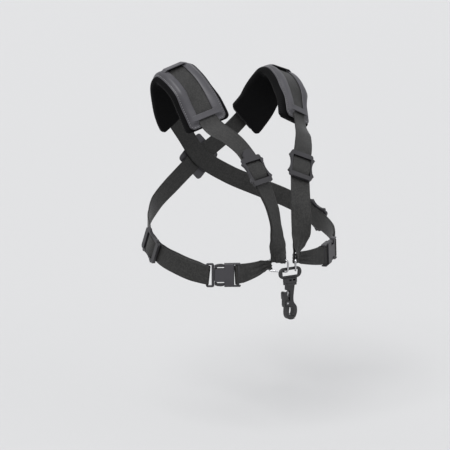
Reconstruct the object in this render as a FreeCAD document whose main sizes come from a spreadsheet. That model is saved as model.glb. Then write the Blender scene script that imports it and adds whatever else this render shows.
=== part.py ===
"""Saxophone harness: two shoulder pads, webbing straps that cross at the back, two side-release
buckles and a swivel snap hook that hangs from two wire rings at the chest.

Frame, in millimetres: +Z up, the wearer faces -Y, the wearer's left is +X. The origin is on the
wearer's vertical axis, at the height of the tops of the shoulders.

Every strap follows a Route: a smooth line through a few stations, each a point and the way that
the strap faces. Pieces are placed by their distance along a route. The routes are written for the
wearer's left; the right side is their mirror image, and worn() then gives both the slight lean of
the body that the harness sits on.
"""
import FreeCAD, Part
import math
import os
from FreeCAD import Vector

LEFT = 1
RIGHT = -1
SIDES = {"left": LEFT, "right": RIGHT}

doc = FreeCAD.newDocument("sax_harness")

# ---------------------------------------------------------------- driving dimensions
SIZES = {
    "strap_width": 25.0,
    "strap_thick": 1.5,
    "running_gap": 0.3,
    "pad_length": 190.0,
    "pad_width": 66.0,
    "foam_thick": 9.0,
    "cover_width": 50.0,
    "cover_thick": 1.2,
    "cover_inset": 3.0,
    "rail_top": 3.4,
    "rail_shoulder": 1.0,
    "rail_slope": 2.0,
    "channel_width": 26.0,
    "keeper_length": 8.0,
    "keeper_thick": 1.2,
    "keeper_lap": 4.0,
    "keeper_from_end": 15.0,
    "straight_front": 18.0,
    "tongue_flat": 4.5,
    "tongue_end": 7.5,
    "slider_width": 31.0,
    "slider_height": 38.0,
    "slider_thick": 3.5,
    "slider_corner": 3.0,
    "window_width": 25.4,
    "window_height": 25.0,
    "ear_radius": 3.2,
    "ear_reach": 14.8,
    "ear_rise": 11.0,
    "waist_radius": 22.0,
    "waist_depth": 1.0,
    "bar_height": 4.0,
    "bar_thick": 2.2,
    "tab_radius": 9.0,
    "tab_thick": 2.6,
    "fold_width": 24.6,
    "fold_reach": 12.1,
    "wire_play": 0.25,
    "belt_wire_play": 0.8,
    "bar_play": 0.2,
    "gather_until": 32.0,
    "flare_until": 20.0,
    "bar_tape_width": 23.6,
    "wire": 2.4,
    "ring_width": 27.0,
    "ring_height": 17.0,
    "ring_corner": 3.5,
    "ring_loop_width": 17.5,
    "belt_loop_height": 10.0,
    "belt_bunch_width": 15.6,
    "belt_bunch_from": 6.0,
    "buckle_half": 14.6,
    "buckle_thick": 8.0,
    "buckle_wall": 1.5,
    "web_rail": 1.6,
    "web_inset": 1.0,
    "web_corner": 1.7,
    "male_corner": 2.5,
    "sleeve_edge": 1.6,
    "sleeve_length": 11.0,
    "plate_length": 12.0,
    "plate_half": 8.0,
    "slot_near": 12.1,
    "slot_far": 15.6,
    "web_bar": 2.8,
    "bar_depth": 3.0,
    "female_end": 20.2,
    "male_start": 12.4,
    "male_slot_near": 15.6,
    "male_slot_far": 19.8,
    "male_end": 22.7,
    "tongue_half": 6.6,
    "tongue_reach": 8.0,
    "tongue_corner": 2.0,
    "tongue_play": 0.25,
    "arm_inner": 10.3,
    "arm_thick": 2.0,
    "arm_pad": 1.6,
    "arm_depth": 4.2,
    "arm_gusset": 1.6,
    "gusset_length": 2.2,
    "eye_width": 35.0,
    "eye_height": 14.0,
    "eye_thick": 3.0,
    "eye_bar": 3.5,
    "eye_opening": 24.8,
    "eye_opening_height": 7.0,
    "eye_edge": 1.0,
    "opening_slant": 1.4,
    "block_width": 16.0,
    "block_depth": 10.0,
    "block_height": 5.8,
    "block_edge": 1.5,
    "block_overlap": 0.75,
    "socket_floor": 2.4,
    "socket_height": 2.8,
    "socket_play": 0.3,
    "socket_window": 2.4,
    "stem_radius": 2.2,
    "fit_gap": 0.08,
    "head_radius": 3.4,
    "head_thick": 2.0,
    "collar_width": 16.6,
    "collar_depth": 9.2,
    "collar_thick": 2.9,
    "collar_edge": 2.4,
    "collar_drop": 0.3,
    "hook_thick": 7.0,
    "hook_edge": 0.9,
    "jaw_thick": 6.6,
    "jaw_web": 3.4,
    "cheek_radius": 4.0,
    "cheek_thick": 1.5,
    "cheek_inner": 1.9,
    "cheek_play": 0.6,
    "groove_radius": 0.55,
    "pin_radius": 1.2,
    "pin_play": 0.05,
    "pivot_in": 5.5,
    "pivot_drop": 26.0,
    "patch_size": 46.0,
    "patch_thick": 2.0,
    "patch_corner": 4.0,
}

sheet = doc.addObject("Spreadsheet::Sheet", "sizes")
for row, (alias, value) in enumerate(SIZES.items(), 1):
    sheet.set(f"A{row}", alias)
    sheet.set(f"B{row}", str(value))
    sheet.setAlias(f"B{row}", alias)
doc.recompute()


def size(alias):
    return float(getattr(sheet, alias))


# ---------------------------------------------------------------- routes
# A station is (x, y, z) and the outward direction there, for the wearer's left side.
SHOULDER_STATIONS = [
    ((13.3, -90.1, -228.0), (0.80, -0.60, 0.00)),
    ((17.0, -94.0, -213.0), (0.15, -0.98, 0.00)),
    ((18.7, -95.0, -199.0), (-0.30, -0.95, 0.05)),
    ((19.5, -93.5, -183.0), (-0.44, -0.89, 0.12)),
    ((22.0, -89.0, -162.0), (-0.34, -0.90, 0.28)),
    ((28.5, -79.5, -137.0), (-0.14, -0.84, 0.52)),
    ((34.8, -70.3, -119.0), (-0.05, -0.83, 0.56)),
    ((44.4, -55.0, -99.4), (0.05, -0.70, 0.71)),
    ((56.4, -32.3, -83.1), (0.25, -0.63, 0.74)),
    ((69.4, -6.5, -67.6), (0.42, -0.72, 0.55)),
    ((75.7, 7.0, -45.8), (0.38, -0.81, 0.44)),
    ((80.3, 20.9, -24.8), (0.24, -0.68, 0.69)),
    ((84.1, 40.8, -9.7), (0.29, -0.38, 0.88)),
    ((85.0, 59.6, -4.0), (0.30, 0.15, 0.94)),
    ((85.0, 75.0, -11.0), (0.28, 0.65, 0.70)),
    ((77.0, 88.0, -32.0), (0.22, 0.88, 0.42)),
    ((66.0, 95.0, -56.0), (0.16, 0.95, 0.25)),
    ((36.0, 101.0, -90.0), (0.05, 0.99, 0.10)),
    ((0.0, 103.0, -122.0), (0.00, 1.00, 0.00)),
    ((-42.0, 98.0, -149.0), (-0.15, 0.98, -0.05)),
    ((-82.0, 82.0, -170.0), (-0.50, 0.86, -0.08)),
    ((-110.0, 58.0, -186.0), (-0.86, 0.50, -0.05)),
    ((-124.0, 36.0, -199.0), (-0.98, 0.18, 0.00)),
]
BELT_STATIONS = [
    ((24.5, -78.0, -237.0), (0.10, -0.99, 0.00)),
    ((38.0, -81.5, -238.0), (0.12, -0.99, 0.00)),
    ((54.0, -81.0, -238.5), (0.25, -0.97, 0.00)),
    ((70.0, -76.7, -238.5), (0.45, -0.89, 0.00)),
    ((82.0, -71.0, -238.3), (0.50, -0.87, 0.00)),
    ((100.6, -58.0, -236.5), (0.65, -0.76, 0.00)),
    ((113.0, -44.5, -232.0), (0.82, -0.57, 0.02)),
    ((123.0, -27.0, -225.5), (0.94, -0.34, 0.05)),
    ((129.0, -3.0, -218.5), (0.99, -0.08, 0.03)),
    ((128.0, 20.0, -209.0), (0.99, 0.10, 0.03)),
    ((124.0, 36.0, -199.0), (0.98, 0.18, 0.00)),
]
CROSSING = 18
CROSSING_LIFT = 1.6
LEAN_AT_SHOULDERS = -0.057
LEAN_AT_BELT = 0.067
BELT_HEIGHT = -238.0
SHOULDER_SWAY = 13.4
SWAY_FROM = -122.0
SWAY_FULL = -77.0
SLIDER_POINT = (34.8, -70.3, -119.0)
PAD_FRONT_POINT = (69.4, -6.5, -67.6)
BUCKLE_POINT = (82.0, -71.0, -238.3)
SIDE_SLIDER_POINT = (128.0, 20.0, -209.0)
RING_AXIS = Vector(0.6, 0.8, 0.0)
RING_CENTRE = Vector(13.3, -90.1, -236.95)
EYE_Y = -96.5
EYE_AXIS_Z = -241.0

HALF_STRAP = size("strap_thick") / 2
LAYER_GAP = 0.3
PATCH_GAP = 0.4
TONGUE_LIP = 0.15
END_GAP = 0.6
TAB_SET_BACK = 0.4
TAB_RISE = 1.5
FOLD_CLEARANCE = 0.25
GROOVE_X = 11.8
FOLD_CROWN = 0.7
ARM_ROOT_GAP = 0.4
BAR_CLEARANCE = 2.2
WRAP_REACH = 2.8
WRAP_FRONT = 1.7
THROUGH = 10.0


def worn(point):
    """As worn: one shoulder and the other hip are carried higher, and the shoulders sway aside."""
    share = point.z / BELT_HEIGHT
    lean = LEAN_AT_SHOULDERS + (LEAN_AT_BELT - LEAN_AT_SHOULDERS) * share
    rise = min(max((point.z - SWAY_FROM) / (SWAY_FULL - SWAY_FROM), 0.0), 1.0)
    sway = SHOULDER_SWAY * rise * rise * (3.0 - 2.0 * rise)
    return Vector(point.x + sway, point.y, point.z + lean * point.x)


class Route:
    """A smooth line through stations, read by distance along it, mirrored for the right side."""

    STEPS = 24

    def __init__(self, stations, side):
        self.points = [worn(Vector(side * p[0], p[1], p[2])) for p, _ in stations]
        self.outs = [Vector(side * o[0], o[1], o[2]).normalize() for _, o in stations]
        self.side = side
        self.table = []
        travelled = 0.0
        last = self.points[0]
        for span in range(len(self.points) - 1):
            for step in range(self.STEPS):
                here = self.at_span(span, step / self.STEPS)
                travelled += (here - last).Length
                last = here
                self.table.append((travelled, span, step / self.STEPS))
        travelled += (self.points[-1] - last).Length
        self.table.append((travelled, len(self.points) - 2, 1.0))
        self.length = travelled

    def slope(self, i):
        """Catmull-Rom tangent at station i, per unit of chord length."""
        before = self.points[max(i - 1, 0)]
        after = self.points[min(i + 1, len(self.points) - 1)]
        return (after - before).normalize()

    def at_span(self, span, share):
        a = self.points[span]
        b = self.points[span + 1]
        chord = (b - a).Length
        u, v = share, 1 - share
        bend = self.slope(span) * (chord * u * v * v) - self.slope(span + 1) * (chord * u * u * v)
        return a * (v * v * (1 + 2 * u)) + b * (u * u * (3 - 2 * u)) + bend

    def place(self, distance):
        """Point, direction of travel, across and outward directions at a distance."""
        distance = min(max(distance, 0.0), self.length)
        i = 1
        while i < len(self.table) - 1 and self.table[i][0] < distance:
            i += 1
        d0, span0, share0 = self.table[i - 1]
        d1, span1, share1 = self.table[i]
        part = (distance - d0) / (d1 - d0) if d1 > d0 else 0.0
        position = (span0 + share0) * (1 - part) + (span1 + share1) * part
        span = min(int(position), len(self.points) - 2)
        share = position - span
        nudge = 0.02
        point = self.at_span(span, share)
        ahead = self.at_span(span, min(share + nudge, 1.0))
        behind = self.at_span(span, max(share - nudge, 0.0))
        along = (ahead - behind).normalize()
        ease = share * share * (3 - 2 * share)
        out = self.outs[span] * (1 - ease) + self.outs[span + 1] * ease
        out = (out - along * out.dot(along)).normalize()
        across = along.cross(out) * self.side
        return point, along, across, out

    def nearest(self, target):
        """Distance along the route of the place nearest to a point of the left-side design."""
        goal = worn(Vector(self.side * target[0], target[1], target[2]))
        best = min(self.table, key=lambda row: (self.at_span(row[1], row[2]) - goal).Length)
        return best[0]


def section(place, across_from, across_to, out_from, out_to):
    """Rectangle square to the route, between two offsets across it and two outwards."""
    point, _, across, out = place
    corners = [
        (across_from, out_from),
        (across_to, out_from),
        (across_to, out_to),
        (across_from, out_to),
    ]
    ring = [point + across * a + out * o for a, o in corners]
    return Part.makePolygon(ring + ring[:1])


def ribbon(route, start, end, width, out_from, out_to, step=8.0):
    """Solid along a route. width is a number, or a function of distance."""
    count = max(2, int(round((end - start) / step)))
    wires = []
    for i in range(count + 1):
        distance = start + (end - start) * i / count
        half = (width(distance) if callable(width) else width) / 2
        wires.append(section(route.place(distance), -half, half, out_from, out_to))
    return Part.makeLoft(wires, True, True)


def frame_at(point, across, up):
    """Placement whose local X is across, local Z is up, and local Y their cross product."""
    up = (up - across * up.dot(across)).normalize()
    inward = up.cross(across)
    matrix = FreeCAD.Matrix(
        across.x, inward.x, up.x, point.x,
        across.y, inward.y, up.y, point.y,
        across.z, inward.z, up.z, point.z,
        0, 0, 0, 1,
    )
    return FreeCAD.Placement(matrix)


# ---------------------------------------------------------------- document helpers
pieces = []


def keep(obj, node, placement=None):
    """Name a finished sub-part after its node and put it in place."""
    obj.Label = node
    if placement is not None:
        obj.Placement = placement.multiply(obj.Placement)
    pieces.append(obj)
    return obj


def solid_piece(node, shape):
    """A sub-part whose shape is lofted along a route."""
    obj = doc.addObject("Part::Feature", node)
    obj.Shape = shape
    return keep(obj, node)


def primitive(kind, name, **sizes):
    """Part primitive. A text value is an expression on the sheet; a number is set as it is."""
    obj = doc.addObject(f"Part::{kind}", name)
    for prop, value in sizes.items():
        if isinstance(value, str):
            obj.setExpression(prop, value)
        else:
            setattr(obj, prop, value)
    return obj


def box(name, x, y, z):
    """Box between pairs of sheet expressions or numbers, one pair for each axis."""
    obj = doc.addObject("Part::Box", name)
    for axis, prop, (low, high) in zip("xyz", ("Length", "Width", "Height"), (x, y, z)):
        obj.setExpression(prop, f"({high}) - ({low})")
        obj.setExpression(f"Placement.Base.{axis}", f"{low}")
    return obj


def rod(name, radius, length, base, axis):
    """Cylinder of the given radius and length, from base along axis."""
    obj = primitive("Cylinder", name, Radius=radius, Height=length)
    obj.Placement = FreeCAD.Placement(Vector(*base), FreeCAD.Rotation(Vector(0, 0, 1), Vector(*axis)))
    return obj


def fuse(name, parts):
    obj = doc.addObject("Part::MultiFuse", name)
    obj.Shapes = parts
    obj.Refine = True
    return obj


def cut(name, base, tools):
    obj = doc.addObject("Part::Cut", name)
    obj.Base = base
    obj.Tool = tools[0] if len(tools) == 1 else fuse(name + "_tools", tools)
    obj.Refine = True
    return obj


def rounded(name, base, radius, chosen):
    """Fillet the edges of base for which chosen(edge) is true."""
    doc.recompute()
    obj = doc.addObject("Part::Fillet", name)
    obj.Base = base
    edges = [i for i, edge in enumerate(base.Shape.Edges, 1) if chosen(edge)]
    obj.Edges = [(i, radius, radius) for i in edges]
    return obj


def runs_along(axis):
    """Edge test: straight and parallel to an axis."""
    def test(edge):
        if not isinstance(edge.Curve, (Part.Line, Part.LineSegment)):
            return False
        return abs(abs(edge.Curve.Direction.dot(Vector(*axis))) - 1) < 1e-6
    return test


def extruded(name, edges, thick):
    """Prism about the plane y = 0, from a closed outline of edges in the xz plane."""
    outline = doc.addObject("Part::Feature", name + "_outline")
    outline.Shape = Part.Face(Part.Wire(edges))
    obj = doc.addObject("Part::Extrusion", name)
    obj.Base = outline
    obj.DirMode = "Custom"
    obj.Dir = Vector(0, 1, 0)
    obj.Symmetric = True
    obj.Solid = True
    obj.setExpression("LengthFwd", thick)
    return obj


def flat(points):
    return [Vector(x, 0, z) for x, z in points]


def lines(points):
    points = flat(points)
    return [Part.makeLine(a, b) for a, b in zip(points, points[1:])]


def curve(points):
    spline = Part.BSplineCurve()
    spline.interpolate(flat(points))
    return [spline.toShape()]


# ---------------------------------------------------------------- straps and pads
def shoulder_stations(side):
    """At the crossing on the back the left strap passes over the right one."""
    stations = list(SHOULDER_STATIONS)
    (px, py, pz), out = stations[CROSSING]
    stations[CROSSING] = ((px, py + side * CROSSING_LIFT, pz), out)
    return stations


shoulder = {name: Route(shoulder_stations(side), side) for name, side in SIDES.items()}
belt = {name: Route(BELT_STATIONS, side) for name, side in SIDES.items()}


class PadLine:
    """The line of a stiff pad: its route, but straight on in front of the front keeper."""

    def __init__(self, route, straight_before):
        self.route = route
        self.straight_before = straight_before

    def place(self, distance):
        held = max(distance, self.straight_before)
        point, along, across, out = self.route.place(held)
        return point + along * (distance - held), along, across, out


def build_pad(name, route):
    """Foam, cover with its channel, and the three keepers that hold the webbing down."""
    front = route.nearest(PAD_FRONT_POINT)
    route = PadLine(route, front + size("straight_front"))
    back = front + size("pad_length")
    cover_top = -HALF_STRAP - LAYER_GAP
    cover_bottom = cover_top - size("cover_thick")
    foam_top = cover_bottom - LAYER_GAP
    foam_bottom = foam_top - size("foam_thick")
    foam = ribbon(route, front, back, size("pad_width"), foam_bottom, foam_top)
    solid_piece(f"{name}_pad_foam", foam)

    inset = size("cover_inset")
    rail_top = size("rail_top") - HALF_STRAP
    cover_half = size("cover_width") / 2
    channel_half = size("channel_width") / 2
    shoulder_drop = size("rail_shoulder")
    slope = size("rail_slope")

    def profile(share):
        """Section with its rails raised by a share of their height over the tongue."""
        top = cover_top + TONGUE_LIP + (rail_top - cover_top - TONGUE_LIP) * share
        edge = top - shoulder_drop * share
        return [
            (-cover_half, cover_bottom),
            (cover_half, cover_bottom),
            (cover_half, edge),
            (cover_half - slope, top),
            (channel_half, top),
            (channel_half, cover_top),
            (-channel_half, cover_top),
            (-channel_half, top),
            (slope - cover_half, top),
            (-cover_half, edge),
        ]

    wires = []
    count = 24
    length = size("pad_length") - 2 * inset
    tongue = size("tongue_flat")
    raised_from = size("tongue_end")
    places = [(0.0, 0.0), (tongue, 0.0)]
    for i in range(count + 1):
        places.append((raised_from + (length - 2 * raised_from) * i / count, 1.0))
    places += [(length - tongue, 0.0), (length, 0.0)]
    for distance, share in places:
        point, _, across, out = route.place(front + inset + distance)
        ring = [point + across * a + out * o for a, o in profile(share)]
        wires.append(Part.makePolygon(ring + ring[:1]))
    solid_piece(f"{name}_pad_cover", Part.makeLoft(wires, True, True))

    half = size("keeper_length") / 2
    crossings = {
        "front": front + size("keeper_from_end"),
        "crest": front + size("pad_length") / 2,
        "rear": back - size("keeper_from_end"),
    }
    low = rail_top + LAYER_GAP / 2
    high = low + size("keeper_thick")
    span = size("channel_width") + 2 * size("keeper_lap")
    for place, distance in crossings.items():
        band = ribbon(route, distance - half, distance + half, span, low, high, half)
        solid_piece(f"{name}_pad_{place}_keeper", band)


def ring_across(side):
    return Vector(RING_AXIS.x, side * RING_AXIS.y, 0)


def ring_point(side):
    return Vector(side * RING_CENTRE.x, RING_CENTRE.y, RING_CENTRE.z)


def sleeve(centre, axis, outer, inner, length):
    """Solid and bore of folded webbing about a wire; the bore runs past both ends."""
    base = centre - axis * (length / 2)
    bore = length + THROUGH
    bore_base = centre - axis * (bore / 2)
    return Part.makeCylinder(outer, length, base, axis), Part.makeCylinder(inner, bore, bore_base, axis)


def moved(shape, placement):
    shape = shape.copy()
    shape.Placement = placement.multiply(shape.Placement)
    return shape


def belt_frame(place):
    """Local X along the belt away from the ring, local Y towards the body."""
    point, along, _, out = place
    return frame_at(point, along, along.cross(out * -1))


def wrap_block(x_from, x_to, hole_from, hole_to):
    """Webbing folded about a buckle bar, in the buckle's frame."""
    half = size("bar_tape_width") / 2
    inner = size("bar_depth") / 2 + size("bar_play")
    outer = inner + size("strap_thick")
    solid = Part.makeBox(x_to - x_from, 2 * outer, 2 * half, Vector(x_from, -outer, -half))
    hole = Part.makeBox(hole_to - hole_from, 2 * inner, 2 * half, Vector(hole_from, -inner, -half))
    return solid.cut(hole)


def build_webbing(name, route, belt_route):
    """Doubled loop through the ring, shoulder strap, and the belt lengths each side of the buckle."""
    side = SIDES[name]
    thick = size("strap_thick")
    width = size("strap_width")
    wire_radius = size("wire") / 2
    slider = route.nearest(SLIDER_POINT)

    bunched = size("ring_loop_width")

    def gathered(distance):
        return bunched + (width - bunched) * min(distance / size("gather_until"), 1.0)

    loop_point = ring_point(side)
    loop_point.z += size("ring_height") / 2 - wire_radius
    inner_radius = wire_radius + size("wire_play")
    outer, inner = sleeve(loop_point, ring_across(side), inner_radius + thick, inner_radius, bunched)
    doubled = ribbon(route, 0.0, slider, gathered, -HALF_STRAP - thick, HALF_STRAP, 5.0)
    solid_piece(f"{name}_front_loop_webbing", doubled.fuse(outer).cut(inner).removeSplitter())

    single = ribbon(route, slider, route.length - END_GAP, width, -HALF_STRAP, HALF_STRAP)
    solid_piece(f"{name}_shoulder_webbing", single)

    buckle = belt_route.nearest(BUCKLE_POINT)
    frame = belt_frame(belt_route.place(buckle))
    low = size("belt_loop_height")
    snug = size("bar_tape_width")
    flare_until = size("flare_until")
    play = size("bar_play")

    bunch = size("belt_bunch_width")
    clear_of_wire = size("belt_bunch_from")

    def flared(distance):
        if distance < clear_of_wire:
            return low + (bunch - low) * distance / clear_of_wire
        return bunch + (snug - bunch) * min((distance - clear_of_wire) / flare_until, 1.0)

    bar_near = size("slot_far")
    bar_far = bar_near + size("web_bar")
    front = ribbon(belt_route, 0.0, buckle - bar_far - BAR_CLEARANCE, flared, -thick, thick, 3.0)
    wire_at = ring_point(side)
    wire_at += Vector(side * RING_AXIS.x, RING_AXIS.y, 0) * (size("ring_width") / 2 - wire_radius)
    inner_radius = wire_radius + size("belt_wire_play")
    outer, inner = sleeve(wire_at, Vector(0, 0, 1), inner_radius + thick, inner_radius, low)
    wrap = wrap_block(-bar_far - WRAP_REACH, WRAP_FRONT - bar_near, -bar_far - play, play - bar_near)
    wrap = moved(wrap, frame)
    solid_piece(f"{name}_front_belt_webbing", front.fuse([outer, wrap]).cut(inner).removeSplitter())

    bar_near = size("male_slot_far")
    bar_far = size("male_end")

    def loosened(distance):
        return snug + (width - snug) * min((distance - buckle - bar_far) / flare_until, 1.0)

    rest_from = buckle + bar_far + BAR_CLEARANCE
    rest = ribbon(belt_route, rest_from, belt_route.length, loosened, -HALF_STRAP, HALF_STRAP)
    wrap = wrap_block(bar_near - WRAP_FRONT, bar_far + WRAP_REACH, bar_near - play, bar_far + play)
    wrap = moved(wrap, frame)
    solid_piece(f"{name}_side_belt_webbing", rest.fuse(wrap).removeSplitter())


# ---------------------------------------------------------------- hardware
def build_slider(node, placement, with_tab):
    """Ladder slider in the strap's frame: strap behind it, webbing folded over its centre bar."""
    back = -HALF_STRAP - size("running_gap")
    thick = size("slider_thick")
    y_back = f"{back}"
    y_front = f"{back} - sizes.slider_thick"
    half = "sizes.slider_width / 2"
    rise = "sizes.slider_height / 2"
    window_half = "sizes.window_width / 2"
    window_rise = "sizes.window_height / 2"
    plate = box(f"{node}_plate", (f"-{half}", half), (y_front, y_back), (f"-{rise}", rise))
    plate = rounded(f"{node}_corners", plate, size("slider_corner"), runs_along((0, 1, 0)))
    parts = [plate]
    for sx in (-1, 1):
        for sz in (-1, 1):
            base = (sx * size("ear_reach"), back - thick, sz * size("ear_rise"))
            parts.append(rod(f"{node}_ear", "sizes.ear_radius", "sizes.slider_thick", base, (0, 1, 0)))
    if with_tab:
        base = (0, back - size("tab_thick") - TAB_SET_BACK, size("slider_height") / 2 + TAB_RISE)
        parts.append(rod(f"{node}_tab", "sizes.tab_radius", "sizes.tab_thick", base, (0, 1, 0)))
    outline = fuse(f"{node}_outline", parts)
    tools = [
        box(
            f"{node}_window",
            (f"-{window_half}", window_half),
            (f"{y_front} - 1", f"{y_back} + 1"),
            (f"-{window_rise}", window_rise),
        )
    ]
    centre = size("slider_width") / 2 + size("waist_radius") - size("waist_depth")
    for sx in (-1, 1):
        base = (sx * centre, back - 2 * thick, 0)
        tools.append(rod(f"{node}_waist", "sizes.waist_radius", "3 * sizes.slider_thick", base, (0, 1, 0)))
    ring = cut(f"{node}_ring", outline, tools)
    bar = box(
        f"{node}_bar",
        (f"-{window_half} - 0.5", f"{window_half} + 0.5"),
        (f"{y_back} - sizes.bar_thick", f"{y_back} - 0.1"),
        ("-sizes.bar_height / 2", "sizes.bar_height / 2"),
    )
    keep(fuse(f"{node}_frame", [ring, bar]), f"{node}_frame", placement)

    reach = size("fold_reach")
    rear_low = back - LAYER_GAP / 2
    front_low = rear_low - size("strap_thick")
    rear_high = back - size("bar_thick") - FOLD_CLEARANCE
    front_high = back - thick - FOLD_CROWN
    front_arc = Part.Arc(
        Vector(0, front_low, -reach), Vector(0, front_high, 0), Vector(0, front_low, reach)
    )
    rear_arc = Part.Arc(Vector(0, rear_low, reach), Vector(0, rear_high, 0), Vector(0, rear_low, -reach))
    profile = Part.Wire([
        front_arc.toShape(),
        Part.makeLine(Vector(0, front_low, reach), Vector(0, rear_low, reach)),
        rear_arc.toShape(),
        Part.makeLine(Vector(0, rear_low, -reach), Vector(0, front_low, -reach)),
    ])
    face = doc.addObject("Part::Feature", f"{node}_fold_profile")
    face.Shape = Part.Face(profile)
    fold = doc.addObject("Part::Extrusion", f"{node}_fold")
    fold.Base = face
    fold.DirMode = "Custom"
    fold.Dir = Vector(1, 0, 0)
    fold.Symmetric = True
    fold.Solid = True
    fold.setExpression("LengthFwd", "sizes.fold_width")
    keep(fold, f"{node}_webbing_fold", placement)


def build_ring(name, side):
    """Rectangular wire ring with round corners: four straight runs and four quarter tori."""
    node = f"{name}_ring"
    reach = (size("ring_width") - size("wire")) / 2
    rise = (size("ring_height") - size("wire")) / 2
    bend = size("ring_corner")
    radius = "sizes.wire / 2"
    parts = []
    run = reach - bend
    drop = rise - bend
    for sign in (-1, 1):
        parts.append(rod(f"{node}_across", radius, 2 * run, (-run, 0, sign * rise), (1, 0, 0)))
        parts.append(rod(f"{node}_upright", radius, 2 * drop, (sign * reach, 0, -drop), (0, 0, 1)))
    for sx, sz, turn in ((1, 1, 0), (-1, 1, 90), (-1, -1, 180), (1, -1, 270)):
        corner = primitive(
            "Torus", f"{node}_corner", Radius1="sizes.ring_corner", Radius2=radius, Angle3=90
        )
        spin = FreeCAD.Rotation(Vector(1, 0, 0), 90).multiply(FreeCAD.Rotation(Vector(0, 0, 1), turn))
        corner.Placement = FreeCAD.Placement(Vector(sx * run, 0, sz * drop), spin)
        parts.append(corner)
    placement = frame_at(ring_point(side), ring_across(side) * side, Vector(0, 0, 1))
    keep(fuse(f"{node}_wire", parts), node, placement)


def bar_reliefs(node, near, far):
    """Cuts that leave a web bar thinner than the frame round it, one on each face."""
    reach = "sizes.buckle_half - sizes.web_rail"
    bar = "sizes.bar_depth / 2"
    reliefs = []
    span = (f"{near} - 0.1", f"{far} + 0.1")
    for faces in ((bar, f"{THROUGH}"), (f"-{THROUGH}", f"-{bar}")):
        reliefs.append(box(f"{node}_bar_relief", span, faces, (f"-({reach})", reach)))
    return reliefs


def build_buckle(name, placement):
    """Side-release buckle in the belt's frame, mouth of the female half at local x = 0."""
    half = "sizes.buckle_half"
    face = "sizes.buckle_thick / 2"
    wall = "sizes.buckle_wall"
    through = (f"-{THROUGH}", f"{THROUGH}")
    between_rails = (f"sizes.web_rail - {half}", f"{half} - sizes.web_rail")
    web_faces = (f"sizes.web_inset - {face}", f"{face} - sizes.web_inset")

    node = f"{name}_buckle_female"
    body = box(f"{node}_body", ("-sizes.sleeve_length", "0"), (f"-{face}", face), (f"-{half}", half))
    body = rounded(f"{node}_edges", body, size("sleeve_edge"), runs_along((1, 0, 0)))
    web = box(f"{node}_web", ("-sizes.female_end", "-sizes.sleeve_length"), web_faces, (f"-{half}", half))

    def at_far_corner(edge):
        return runs_along((0, 1, 0))(edge) and edge.CenterOfMass.x < -size("slot_far")

    web = rounded(f"{node}_web_corners", web, size("web_corner"), at_far_corner)
    parts = [body, web]
    holes = [
        box(
            f"{node}_cavity",
            (f"-sizes.sleeve_length + {wall}", "0.1"),
            (f"-{face} + {wall}", f"{face} - {wall}"),
            (f"-{half} + {wall}", f"{half} - {wall}"),
        ),
        box(f"{node}_slot", ("-sizes.slot_far", "-sizes.slot_near"), through, between_rails),
        box(
            f"{node}_mouth",
            (f"-sizes.female_end - {THROUGH}", "-sizes.slot_far - sizes.web_bar"),
            through,
            between_rails,
        ),
    ]
    for near, far in ((f"{face} - {wall}", face), (f"-{face}", f"-{face} + {wall}")):
        parts.append(
            box(
                f"{node}_plate",
                ("-0.5", "sizes.plate_length"),
                (near, far),
                ("-sizes.plate_half", "sizes.plate_half"),
            )
        )
    holes += bar_reliefs(node, "-sizes.slot_far - sizes.web_bar", "-sizes.slot_far")
    keep(cut(f"{node}_cut", fuse(f"{node}_shell", parts), holes), node, placement)

    node = f"{name}_buckle_male"
    base = box(f"{node}_base", ("sizes.male_start", "sizes.male_end"), web_faces, (f"-{half}", half))
    base = rounded(f"{node}_corners", base, size("male_corner"), runs_along((0, 1, 0)))
    tongue = box(
        f"{node}_tongue",
        ("-sizes.tongue_reach", "sizes.male_start + 0.5"),
        (f"-{face} + {wall} + sizes.tongue_play", f"{face} - {wall} - sizes.tongue_play"),
        ("-sizes.tongue_half", "sizes.tongue_half"),
    )

    def at_tip(edge):
        return runs_along((0, 1, 0))(edge) and edge.CenterOfMass.x < 0

    tongue = rounded(f"{node}_tip", tongue, size("tongue_corner"), at_tip)
    holes = [box(f"{node}_slot", ("sizes.male_slot_near", "sizes.male_slot_far"), through, between_rails)]
    holes += bar_reliefs(node, "sizes.male_slot_far", "sizes.male_end")
    keep(cut(f"{node}_cut", fuse(f"{node}_solid", [base, tongue]), holes), node, placement)

    start = size("male_start") - ARM_ROOT_GAP
    tip = -size("tongue_reach")
    inner = size("arm_inner")
    thick = size("arm_thick")
    pad = size("arm_pad")
    gusset = size("arm_gusset")
    gusset_length = size("gusset_length")
    for which, sign in (("upper", 1), ("lower", -1)):
        node = f"{name}_buckle_{which}_arm"
        edges = lines([
            (start, sign * (inner + thick)),
            (start, sign * (inner - gusset)),
            (start - gusset_length, sign * (inner - gusset)),
            (start - gusset_length - gusset, sign * inner),
            (tip, sign * inner),
            (tip, sign * (inner + thick - 0.6)),
            (tip + 2.0, sign * (inner + thick)),
            (-ARM_ROOT_GAP, sign * (inner + thick)),
        ]) + curve([
            (-ARM_ROOT_GAP, sign * (inner + thick)),
            (2.2, sign * (inner + thick + pad * 0.9)),
            (5.5, sign * (inner + thick + pad)),
            (9.0, sign * (inner + thick + pad * 0.7)),
            (start, sign * (inner + thick)),
        ])
        keep(extruded(node, edges, "sizes.arm_depth"), node, placement)


BLOCK_BOTTOM = size("eye_bar") / 2 - size("eye_height") + size("block_overlap") - size("block_height")
HOOK_TOP = EYE_AXIS_Z + BLOCK_BOTTOM


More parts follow.
